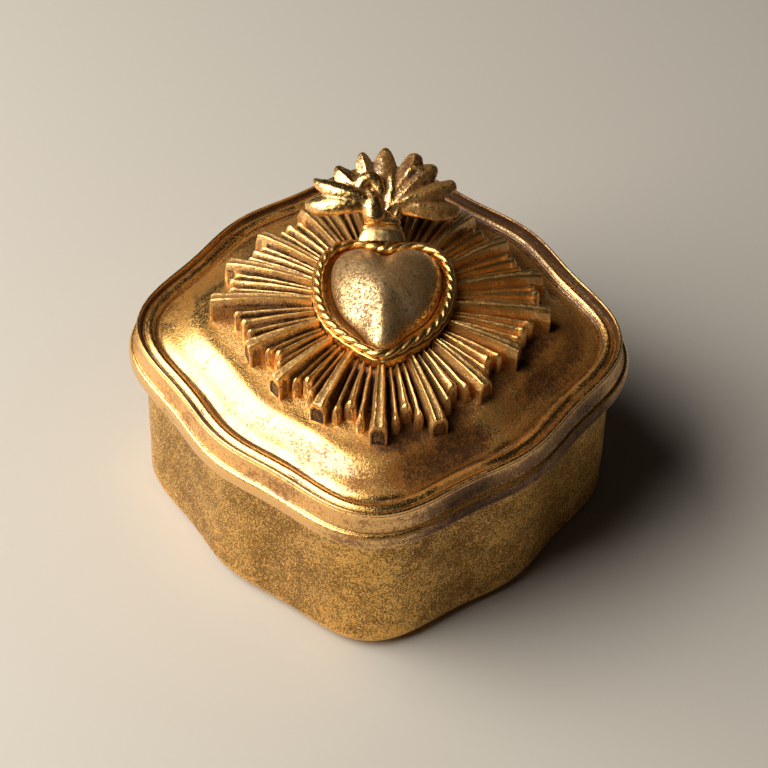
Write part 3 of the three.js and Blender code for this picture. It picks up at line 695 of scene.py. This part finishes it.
def rayShape(ray):
    r = rayLook
    hub, along, root, length = rayLine(ray["angle"], ray["more"])
    across = np.array([-along[1], along[0]])
    tip = root + (length - root) * ray["reach"]
    isLong = ray["kind"] == "long"
    section = list(r["longSection"] if isLong else r["shortSection"])
    section = np.array(section + [(-w, h) for w, h in reversed(section[:-1])])
    drop = {"long": 0, "middle": r["middleDrop"], "beside": r["besideDrop"]}[ray["kind"]]
    rootWidth, tipWidth = root * ray["slot"] - r["gap"], r[ray["kind"] + "Width"]
    rings = []
    for t in 1 - (1 - np.linspace(0, 1, r["stations"])) ** 1.7:
        d = mix(root, tip, t)
        half = mix(rootWidth, tipWidth, t) / 2
        fromTip = tip - d
        if isLong:
            block = 1 - smoothStep(*r["block"], fromTip)
            eased = fromTip < 0.15   # the last section
            half *= 1 + r["flare"] * block - 0.06 * eased
            crest = r["blockRise"] * block - 0.15 * eased
            foot = r["frontFoot"] * (1 - smoothStep(0, 2, fromTip)) if ray["front"] else 0
        else:
            knob = math.exp(-((fromTip - r["knob"]) / r["knob"]) ** 2)
            roundOff = max(0, 1 - fromTip / 0.8)
            half *= (1 + r["knobFlare"] * knob) * math.sqrt(max(0.25, 1 - roundOff ** 2))
            crest = r["knobRise"] * knob - 0.8 * (1 - math.sqrt(max(0.05, 1 - roundOff ** 2)))
            foot = 0
        crest += mix(r["rootHeight"], r["tipHeight"], t) - drop
        out = d + foot * (1 - section[:, 1])
        x = hub[0] + along[0] * out + across[0] * section[:, 0] * half
        y = hub[1] + along[1] * out + across[1] * section[:, 0] * half
        middle = domeHeight(hub[0] + along[0] * d, hub[1] + along[1] * d)
        z = mix(domeHeight(x, y) - 0.1, middle + plan["bedding"] + crest, section[:, 1])
        rings.append(np.stack([x, y, z], axis=1))
    if isLong:
        end = rings[-1]
        centre = (end.max(axis=0) + end.min(axis=0)) / 2
        ahead = np.array([along[0], along[1], 0])
        panel = 1 - 2 * r["panelMargin"]
        # Share of the end face, and mm ahead of it: its rounded edge, then the sunk panel
        face = ((0.9, 0.08), (1.06 * panel, 0.07), (panel, -0.06), (0.92 * panel, -r["panelDepth"]))
        rings += [centre + (end - centre) * share + ahead * forward for share, forward in face]
    return loft(rings)


def webShape():
    r = rayLook
    lines = [rayLine(angle) for angle in angles(r["webPoints"])]
    top, under = [], []
    for t in np.linspace(0, 1, r["webRings"]):
        row, low = [], []
        for hub, along, root, length in lines:
            web = root + (length - root) * (r["middleReach"] - r["middleDip"]) * r["webReach"]
            p = hub + along * mix(root, web, t)
            base = domeHeight(p[0], p[1]) + plan["bedding"] * 0.2
            row.append([p[0], p[1], base + mix(r["rootHeight"] - r["valleyDepth"], r["webEdge"], t)])
            low.append([p[0], p[1], base - 0.2])
        top.append(np.array(row))
        under.append(np.array(low))
    hole = trayLook["spigotRadius"] + trayLook["clearance"]
    out = top[0][:, :2] - np.array([plan["groupCentre"], 0])
    circle = out / np.hypot(out[:, 0], out[:, 1])[:, None] * hole + np.array([plan["groupCentre"], 0])
    hubRing = np.column_stack([top[0][:, :2], np.full(len(out), hubTop)])
    holeTop = np.column_stack([circle, np.full(len(out), hubTop)])
    holeLow = np.column_stack([circle, np.full(len(out), domeTop + plan["bedding"])])
    return loft([holeLow] + under + top[::-1] + [hubRing, holeTop], looped=True)


def sunburstShape():
    shapes = [webShape()] + [rayShape(ray) for ray in rays()]
    points, faces = together(shapes)
    return handmade(points, rayLook["uneven"], seed=11), faces


def rayToningAndShadeAt(points):
    r = rayLook
    height = points[:, 2] - domeHeight(points[:, 0], points[:, 1])
    crest = plan["bedding"] + r["rootHeight"]   # toning and painted shade, dark from a little under the crests down to the dome
    deep = smoothStep(*r["valleyShadeUnder"], crest - height)
    # Painted light on the right: less darkening there
    deep *= mix(1, r["rightPaintedLight"], smoothStep(*r["rightPaintedLightFrom"], points[:, 0]))
    for ray in rays():
        hub, along, root, length = rayLine(ray["angle"], ray["more"])
        ahead = (points[:, :2] - hub) @ along - root - (length - root) * ray["reach"]
        aside = (points[:, :2] - hub) @ np.array([-along[1], along[0]])
        deep[(np.abs(ahead) < 0.6) & (np.abs(aside) < r["longWidth"] * 0.6)] *= r["endFaceShade"]
    return r["valleyShadeAmount"] * deep - r["crestLeaf"]


# Rope border, laid of two strands that cross over for every bead
ropeLook = {
    "twists": 34, "broad": 1.15, "slim": 0.78, "stations": 18, "sides": 28,
    "rearWaist": 0.93,     # share of the broad width that its waist has at the rear
    "pinch": 0.86,         # share of the waist that is left between two beads
    "seat": 0.1,
    "edge": 0.34, "edgeOut": 1.0, "edgeUp": 0.42, "scallop": 0.16,   # raised line along its outer foot
    "uneven": ((2.0, 0.05), (0.8, 0.02)),
    "hollowDepth": 0.2, "hollowPasses": 10,
    "finish": {
        "glaze": (0.20, 0.08, 0.018), "cover": 0.62, "hollow": 1.5, "glazeMetal": 0.15, "soilAndShadeFrom": 0.2,
        "soilAndShadeTo": 0.7,
    },
}


def ropeShape():
    rope = ropeLook
    stations = angles(rope["twists"] * rope["stations"])
    turn = angles(rope["sides"])
    rings = []
    for angle in stations:
        spin = rope["twists"] * angle / 2
        waist = mix(rope["slim"], rope["broad"] * rope["rearWaist"], smoothStep(0.45, 0.95, math.sin(angle)))
        lobe = np.abs(np.cos(turn - spin)) ** 0.7
        radius = mix(waist * rope["pinch"], rope["broad"], lobe)
        radial, up = radius * np.cos(turn), radius * np.sin(turn)
        centreZ = trayTop + rope["seat"] + rope["broad"]
        rings.append(polar(np.full(len(turn), angle), borderAt(angle) + radial, centreZ + up))
    edge = []
    for angle in stations:
        bulge = rope["scallop"] * abs(math.cos(rope["twists"] * angle / 2))
        out = borderAt(angle) + rope["edgeOut"] + bulge + rope["edge"] * np.cos(turn)
        z = trayTop + rope["edgeUp"] + rope["edge"] * np.sin(turn)
        edge.append(polar(np.full(len(turn), angle), out, z))
    points, faces = together([loft(rings, looped=True), loft(edge, looped=True)])
    return handmade(points, rope["uneven"], seed=21), faces


# Tray with the trough round the heart
def trayShape():
    t = trayLook
    angle = angles(heartLook["outlinePoints"])
    border, heart, spigot = borderAt(angle), heartAt(angle), t["spigotRadius"] + 0 * angle
    edge = border + t["ledge"]
    bevel, soft = t["footBevel"], t["rimRound"]
    profile = [(spigot, domeTop - t["recess"] + t["clearance"]), (spigot, hubTop),
               (edge - bevel, hubTop), (edge, hubTop + bevel), (edge, trayTop - soft),
               (edge - 0.3 * soft, trayTop - 0.25 * soft), (edge - soft, trayTop)]
    profile += [(border - inward, trayTop) for inward in (-0.2, 0.4, 0.9)]
    for share in np.linspace(0, 1, t["troughRings"]):
        sag = t["troughSag"] * math.sin(math.pi * min(1, share * 1.02)) ** 0.8
        radius, z = mix(border - 1.0, heart + 0.25, share), mix(trayTop + 0.12, heartSeat + 0.5, share)
        profile.append((radius, z - sag))
    profile += [(heart + 0.12, heartSeat + 0.1), (heart, heartSeat - 0.1), (0.6 * heart, heartSeat - 0.1)]
    points, faces = loft([polar(angle, radius, z) for radius, z in profile])
    return handmade(points, t["uneven"], seed=31), faces


def heartShape():
    h = heartLook
    angle = angles(h["outlinePoints"])
    fromPoint = np.abs((angle + math.pi / 2 + math.pi) % tau - math.pi)   # 0 toward the lower point
    keel = np.minimum(1, fromPoint / 0.55) * (1 - smoothStep(0.8, 1.7, fromPoint))
    edge = heartAt(angle)
    rings = [polar(angle, edge - 0.1, heartSeat - 0.05), polar(angle, edge, heartSeat + 0.1)]
    for share in shares(h["rings"]):
        radius = share * edge
        up = h["edge"] + h["swell"] * (1 - share ** 2) ** 0.6
        x, y = radius * np.cos(angle), radius * np.sin(angle)
        fold = np.exp(-(x / (h["creaseWidth"] / 2)) ** 2) * np.clip(y / heartAt(math.pi / 2), 0, 1)
        ridge = h["ridge"] * keel * smoothStep(0.25, 0.75, share) * (1 - share ** 4)
        rings.append(polar(angle, radius, heartSeat + up - h["crease"] * fold - ridge))
    points, faces = loft(rings)
    return handmade(points, h["uneven"], seed=41), faces


# Neck that holds the flames, in a frame that leans back
neckLook = {
    "centre": -0.2, "tilt": 28.0,   # place across the box, and lean in degrees from level
    "ropeRoom": 1.2,                # half width that the rope takes up in front of it
    "setBack": 1.05, "length": 3.0, "baseWidth": 11.1, "topWidth": 8.4, "depth": 3.5,
    "foot": 0.9,                    # how far the collar's foot runs on toward the rope
    "waist": 0.15,
    "bead": (0.3, 0.9, 0.06), "line": (-0.15, 0.74, 0.05),   # height, place and width along the neck
    "clearance": 0.3,
    "sides": 120, "stations": 22,
    "uneven": ((1.5, 0.05), (0.6, 0.02)),
    "hollowDepth": 0.2, "hollowPasses": 6,
    "finish": {"leaf": (1.0, 0.66, 0.25), "cover": 0.8, "speck": 0.5},
}
tenon = {"width": 3.6, "depth": 1.6, "from": -2.6, "to": 2.0}   # plugs into the neck


def raysTop(x, y):
    return domeHeight(x, y) + plan["bedding"] + rayLook["rootHeight"]


def crownFrames():
    n = neckLook
    tilt = math.radians(n["tilt"])
    lean = np.array([0, math.cos(tilt), math.sin(tilt)])
    square = np.array([0, -lean[2], lean[1]])
    y = borderAt(math.pi / 2) + n["ropeRoom"] + n["setBack"] + n["depth"] / 2 * lean[2]
    z = raysTop(0, y) + plan["bedding"] + n["depth"] / 2 * lean[1]
    neck = np.array([n["centre"], y, z])
    return lean, square, neck, neck + lean * (n["length"] + n["clearance"])


crownLean, crownSquare, neckBase, flameRoot = crownFrames()


def toCrown(points, start):
    points = np.asarray(points, dtype=float)   # across, along the lean, square to it
    across = points[:, :1] * np.array([1.0, 0, 0])
    return start + across + points[:, 1:2] * crownLean + points[:, 2:3] * crownSquare


def neckShape():
    n = neckLook
    turn = angles(n["sides"])
    bore = (tenon["width"] / 2 + n["clearance"], tenon["depth"] / 2 + n["clearance"])
    sections = []
    for t in np.linspace(0, 1, n["stations"]):
        width = mix(n["baseWidth"], n["topWidth"], t) / 2 + n["waist"] * math.sin(math.pi * t)
        collar = sum(tall * math.exp(-((t - at) / wide) ** 2) for tall, at, wide in (n["bead"], n["line"]))
        along = mix(-n["foot"], n["length"], t)
        sections.append((width - 0.1 + collar, n["depth"] / 2 - 0.15 + collar, along))
    sections += [(*bore, n["length"] - 0.1), (*bore, -n["foot"] + 0.1)]
    rings = []
    for wide, deep, along in sections:
        ring = np.column_stack([wide * np.cos(turn), 0 * turn + along, deep * np.sin(turn)])
        ring = toCrown(ring, neckBase)
        ring[:, 2] = np.maximum(ring[:, 2], raysTop(ring[:, 0], ring[:, 1]) + 0.05)   # clear of the rays
        rings.append(ring)
    points, faces = loft(rings, looped=True)
    return handmade(points, n["uneven"], seed=51), faces


# Crown of flames
crownLook = {
    "voxel": 0.19, "smoothing": 3,   # how finely and how softly the flames grow together
    "tipRoom": (7.0, 0.36),   # the top 7 mm are pressed down by up to 0.36, under the solid model's top
    # Tongues: turn in degrees, reach, half width, height at the root, hump, height at the tip, sway,
    # keel, bluntness
    "tongues": ((14, 18.2, 2.7, 1.0, 1.8, -0.6, -1.2, 0.5, 8), (32, 19.2, 2.3, 1.5, 1.6, 0.6, -0.6, 0.4, 24),
                (50, 18.5, 3.1, 1.5, 1.2, 1.0, 0.6, 0.7, 9), (68, 18.6, 2.7, 1.4, 0.6, 1.0, -1.0, 0.7, 20),
                (89.5, 18.3, 3.0, 1.2, 0.3, 1.0, 0.2, 0.1, 6), (107, 18.0, 2.5, 1.4, 0.5, 1.0, 0.7, 0.8, 6),
                (129, 17.4, 2.8, 1.5, 1.3, 0.8, 1.0, 0.8, 6), (147.5, 19.0, 2.1, 1.8, 2.7, 0.4, 1.6, 0.25, 7),
                (166, 18.1, 2.6, 1.5, 2.7, -0.9, 1.2, 0.2, 14)),
    "rootSpread": (1.5, 4.6, 2.6),   # of the tongues: across, along, and how far the middle ones start back
    "swing": 1.8, "tongueDepth": (2.3, 1.5), "tongueWidth": (0.75, 0.72),   # at the root, at the tip
    # Cords of the inner flames: points across, along and above the fan, each with its half width
    "curl": ((-6.2, 4.6, 1.4, 1.2), (-5.8, 7.0, 3.0, 1.4), (-4.8, 9.0, 3.8, 1.5), (-3.2, 9.9, 4.1, 1.5),
             (-1.7, 9.2, 3.8, 1.4), (-0.9, 7.4, 3.1, 1.3), (-0.8, 5.2, 2.4, 1.1)),
    "stem": ((-3.4, 8.6, 2.2, 0.6), (-3.1, 6.4, 3.1, 1.5), (-2.5, 4.2, 2.9, 2.3), (-2.0, 1.8, 2.0, 2.6),
             (-1.8, 0.6, 1.2, 2.3)),
    "leftArm": ((-3.0, 3.6, 2.6, 1.6), (-6.6, 4.2, 2.8, 1.7), (-10.4, 5.2, 2.4, 1.4), (-13.0, 6.2, 1.6, 0.9)),
    "licks": (((1.0, 2.2, 1.9, 1.2), (1.6, 5.4, 2.9, 1.1), (1.8, 8.6, 3.0, 0.9), (1.3, 11.8, 2.4, 0.6)),
              ((8.9, 8.4, 1.4, 0.6), (8.8, 10.8, 2.5, 0.75), (7.6, 12.6, 3.1, 0.8), (5.9, 12.4, 3.3, 0.8),
               (4.8, 10.4, 3.0, 0.7), (4.2, 7.8, 2.6, 0.7), (3.0, 4.0, 2.3, 0.8)),
              ((3.0, 1.0, 1.8, 0.9), (3.4, 5.0, 2.9, 0.8), (4.1, 8.4, 3.0, 0.7), (3.6, 11.2, 2.4, 0.5)),
              ((2.8, 1.4, 1.6, 0.8), (4.8, 4.2, 2.1, 0.6), (8.4, 6.2, 2.0, 0.5), (11.6, 6.9, 1.5, 0.4)),
              ((-3.0, 1.6, 1.8, 1.2), (-5.2, 4.4, 2.5, 1.0), (-8.6, 6.4, 2.6, 0.8), (-11.5, 7.4, 1.9, 0.5))),
    "trunkHeight": 9.5, "trunkWidth": (3.5, 5.2), "trunkDepth": (1.5, 2.8), "trunkBand": (0.65, 0.35),
    "flutes": 9, "fluteDepth": 0.09,
    "webSpread": (8, 172), "webReach": (1.5, 11.4), "webSeat": 2.2, "webHeight": 2.6, "webFall": 1.6,
    "mountWidth": (6.0, 9.0), "mountLength": 9.0,
    "uneven": ((1.7, 0.12), (0.7, 0.05)),
    "hollowDepth": 0.3, "hollowPasses": 14,
    "finish": {
        # Painted shade on the back and right of the flames, and painted light on their left
        "stainsAndShade": (((1, 35, 70), 13, 0.5), ((13, 27, 66), 13, 0.45), ((-10, 23, 64), 11, -0.4)),
        "leaf": (1.0, 0.58, 0.17), "paleLeaf": (1.0, 0.7, 0.32), "glaze": (0.25, 0.11, 0.026),
        "soilAndShade": (0.05, 0.02, 0.006), "cover": 0.6, "speck": 0.9, "fine": 0.7, "hollow": 1.4,
        "leafRough": 0.27, "glazeMetal": 0.15, "coat": 0.8, "coatRough": 0.2, "coatIor": 2.0,
        "dentDepth": 0.13,
    },
}


def sweep(spine, halves, depths, keel=0.0, sides=20):
    turn = angles(sides)   # sections square to a line of points, roofed by a keel
    ahead = np.gradient(spine, axis=0)
    ahead /= np.linalg.norm(ahead, axis=1)[:, None]
    rise = np.where(np.sin(turn) > 0, mix(np.sin(turn), 1 - np.abs(np.cos(turn)), keel), 0.8 * np.sin(turn))
    rings = []
    for p, forward, half, deep in zip(spine, ahead, halves, depths):
        side = np.cross(forward, [0, 0, 1.0])
        side /= np.linalg.norm(side)
        up = np.cross(side, forward)
        rings.append(toCrown(p + np.outer(half * np.cos(turn), side) + np.outer(deep * rise, up), flameRoot))
    return loft(rings)


def tongueShape(turn, reach, half, rootHeight, hump, tipHeight, sway, keel, blunt):
    t = np.linspace(0, 1, 30)
    aim = np.array([math.cos(math.radians(turn)), math.sin(math.radians(turn))])
    across, along, back = crownLook["rootSpread"]
    root = np.array([across * aim[0], along - back * aim[1]])
    line = root + np.outer(t, aim * reach - root)
    line += np.outer(crownLook["swing"] * sway * np.sin(math.pi * t) * (t - 0.3), [-aim[1], aim[0]])
    spine = np.column_stack([line, mix(rootHeight, tipHeight, t) + hump * np.sin(math.pi * t) ** 1.2])
    atRoot, atTip = crownLook["tongueWidth"]
    width = half * mix(atRoot, 1.0, smoothStep(0, 0.5, t)) * mix(1.0, atTip, smoothStep(0.65, 1.0, t))
    taper = np.sqrt(1 - t ** blunt)
    depth = mix(*crownLook["tongueDepth"], t)
    return sweep(spine, width * taper + 0.06, depth * taper + 0.06, keel)


def cordShape(points):
    points = np.array(points)   # a smooth cord through given points
    last = len(points) - 1
    t = np.linspace(0, last, 8 * len(points))
    base = np.minimum(t.astype(int), last - 1)
    before, after = points[np.maximum(base - 1, 0)], points[np.minimum(base + 2, last)]
    start, end = points[base], points[base + 1]
    s = (t - base)[:, None]
    curve = 0.5 * (2 * start + (end - before) * s + (2 * before - 5 * start + 4 * end - after) * s ** 2
                   + (3 * start - before - 3 * end + after) * s ** 3)
    close = np.sqrt(1 - np.linspace(-1, 1, len(t)) ** 16) + 0.05
    return sweep(curve[:, :3], curve[:, 3] * close, curve[:, 3] * close, 0.0, 14)


def trunkShape():
    c, turn = crownLook, angles(60)
    rings = []
    for t in np.linspace(0, 1, 20):
        flute = 1 + c["fluteDepth"] * smoothStep(0.1, 0.3, t) * np.cos(c["flutes"] * turn + 0.6)
        band = 1 - smoothStep(0.12, 0.17, t)   # the collar's upper band, cast with the flames
        wide = mix(*c["trunkWidth"], smoothStep(0.12, 0.7, t)) * (1 - 0.5 * smoothStep(0.75, 1, t))
        deep = mix(*c["trunkDepth"], smoothStep(0, 0.5, t)) * (1 - 0.5 * smoothStep(0.6, 1, t))
        wide, deep = wide + c["trunkBand"][0] * band, deep + c["trunkBand"][1] * band
        along = 0 * turn + mix(-0.25, c["trunkHeight"], t)
        up = 0.3 + 0.8 * t + deep * flute * np.sin(turn)
        rings.append(toCrown(np.column_stack([wide * flute * np.cos(turn), along, up]), flameRoot))
    return loft(rings)


def backWebShape():
    c = crownLook
    spread = np.radians(np.linspace(*c["webSpread"], 80))
    rings = []
    for t in np.linspace(0, 1, 16):
        reach = mix(*c["webReach"], t)
        swell = c["webHeight"] - c["webFall"] * smoothStep(0.55, 1, t) - 0.5 * np.cos(2 * spread)
        upper = np.column_stack([reach * np.cos(spread), c["webSeat"] + reach * np.sin(spread), swell])
        lower = upper[::-1] * [1, 1, 0] + [0, 0, -1.0]
        rings.append(toCrown(np.vstack([upper, lower]), flameRoot))
    return loft(rings)


def mountShape():
    c = crownLook
    rings = []
    for t in np.linspace(0, 1, 8):   # a block that carries the fan on the rays
        half, along = mix(*c["mountWidth"], t) / 2, c["mountLength"] * t + 0.2
        top = toCrown([[-half, along, 0.2], [half, along, 0.2]], flameRoot)
        low = top.copy()
        low[:, 2] = raysTop(low[:, 0], low[:, 1]) + plan["bedding"]
        rings.append(np.vstack([top, low[::-1]]))
    return loft(rings)


def tenonShape():
    turn = angles(60)
    across, up = tenon["width"] / 2 * np.cos(turn), tenon["depth"] / 2 * np.sin(turn)
    return loft([toCrown(np.column_stack([across, 0 * turn + along, up]), flameRoot)
                 for along in (tenon["from"], tenon["to"])])


def crownShape():
    c = crownLook
    shapes = [tongueShape(*tongue) for tongue in c["tongues"]]
    shapes += [cordShape(cord) for cord in (c["curl"], c["stem"], c["leftArm"], *c["licks"])]
    shapes += [trunkShape(), backWebShape(), mountShape(), tenonShape()]
    points, faces = fuse(shapes, c["voxel"], c["smoothing"])
    points = handmade(points, c["uneven"], seed=61)
    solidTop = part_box("flame_crown")[1].z / mm
    room, press = c["tipRoom"]
    points[:, 2] -= press * smoothStep(solidTop - room, solidTop, points[:, 2])
    return points, faces


# Every piece: its shape, look and extra toning and painted shade, then the names of its mesh and finish, its
# body, slot and solid
pieces = (
    (bodyShape, bodyLook, None, "body_casting", "body_leaf", "box", "body_gilt", "box_body"),
    (feltShape, feltLook, None, "felt_pad", "felt_brown", "box", "felt", "base_felt"),
    (lidShape, lidLook, lidToningAndShadeAt, "lid_casting", "lid_leaf", "lid", "lid_gilt", "lid"),
    (sunburstShape, rayLook, rayToningAndShadeAt, "sunburst_rays", "ray_leaf", "lid", "ray_gilt", "sunburst"),
    (trayShape, trayLook, None, "heart_setting", "tray_leaf", "lid", "tray_gilt", "heart_tray"),
    (heartShape, heartLook, None, "swelled_heart", "heart_leaf", "lid", "heart_gilt", "heart"),
    (ropeShape, ropeLook, None, "twisted_rope", "rope_leaf", "lid", "rope_gilt", "rope_border"),
    (neckShape, neckLook, None, "flared_neck", "neck_leaf", "lid", "neck_gilt", "neck_band"),
    (crownShape, crownLook, None, "flame_casting", "flame_leaf", "lid", "flame_gilt", "flame_crown"),
)
for shape, look, sunk, name, finish, body, slot, solid in pieces:
    makeFinish = feltMaterial if slot == "felt" else giltMaterial
    material = makeFinish(finish, **look["finish"])
    makePiece(name, makeMesh(name, shape(), look, sunk), body, slot, material, solid)
print("pieces made")


# Studio
studio = {
    "lightTurn": 189.7,      # degrees round the box, from +X toward +Y
    "lightHeight": 41.5,     # degrees above the floor
    "lightDistance": 0.63,
    "lightAim": (0, 0, 0.03),
    "lightWidth": 0.65,
    "lightTall": 0.65,
    "lightPower": 7.2,
    "lightColour": (1.0, 0.97, 0.92),
    "roomColour": (1.0, 0.97, 0.92, 1.0),
    "roomLight": 0.009,
    "floorColour": (0.66, 0.61, 0.53, 1.0),
    "floorRough": 0.7,
    "floorReach": 3.0,
}


def makeStudio():
    s = studio
    mesh = bpy.data.meshes.new("floor")
    reach = s["floorReach"]
    corners = [(-reach, -reach, 0), (reach, -reach, 0), (reach, reach, 0), (-reach, reach, 0)]
    mesh.from_pydata(corners, [], [(0, 1, 2, 3)])
    floor = bpy.data.objects.new("floor", mesh)
    bpy.context.scene.collection.objects.link(floor)
    paint = bpy.data.materials.new("floor_paint")
    paint.use_nodes = True
    shader = paint.node_tree.nodes["Principled BSDF"]
    shader.inputs["Base Color"].default_value = s["floorColour"]
    shader.inputs["Roughness"].default_value = s["floorRough"]
    mesh.materials.append(paint)
    turn, height = math.radians(s["lightTurn"]), math.radians(s["lightHeight"])
    toLight = Vector((math.cos(turn) * math.cos(height), math.sin(turn) * math.cos(height), math.sin(height)))
    lamp = bpy.data.lights.new("softbox", "AREA")
    lamp.shape = "RECTANGLE"
    lamp.size, lamp.size_y = s["lightWidth"], s["lightTall"]
    lamp.energy = s["lightPower"]
    lamp.color = s["lightColour"]
    light = bpy.data.objects.new("softbox", lamp)
    light.location = toLight * s["lightDistance"] + Vector(s["lightAim"])
    light.rotation_euler = toLight.to_track_quat("Z", "Y").to_euler()
    bpy.context.scene.collection.objects.link(light)
    world = bpy.data.worlds.new("room")
    bpy.context.scene.world = world
    world.use_nodes = True
    room = world.node_tree.nodes["Background"]
    room.inputs["Color"].default_value = s["roomColour"]
    room.inputs["Strength"].default_value = s["roomLight"]


# Camera, solved from the photograph's outline of the lid and the foot
view = {
    "place": (0.003331, -0.467, 0.530454),
    "right": (0.9993228, 0.0301635, 0.0210739),
    "up": (-0.0364796, 0.7372036, 0.6746851),
    "lens": 140.625,
    "shift": (0.0093, 0.040),
}


def makeCamera():
    camera = bpy.data.cameras.new("camera")
    camera.lens = view["lens"]
    camera.shift_x, camera.shift_y = view["shift"]
    right = Vector(view["right"]).normalized()
    back = right.cross(Vector(view["up"])).normalized()
    up = back.cross(right)
    turn = Matrix((right, up, back)).transposed().to_4x4()
    eye = bpy.data.objects.new("camera", camera)
    eye.matrix_world = Matrix.Translation(view["place"]) @ turn
    bpy.context.scene.collection.objects.link(eye)
    bpy.context.scene.camera = eye
    bpy.context.scene.view_settings.view_transform = "Standard"


makeStudio()
makeCamera()
print("studio and camera set")
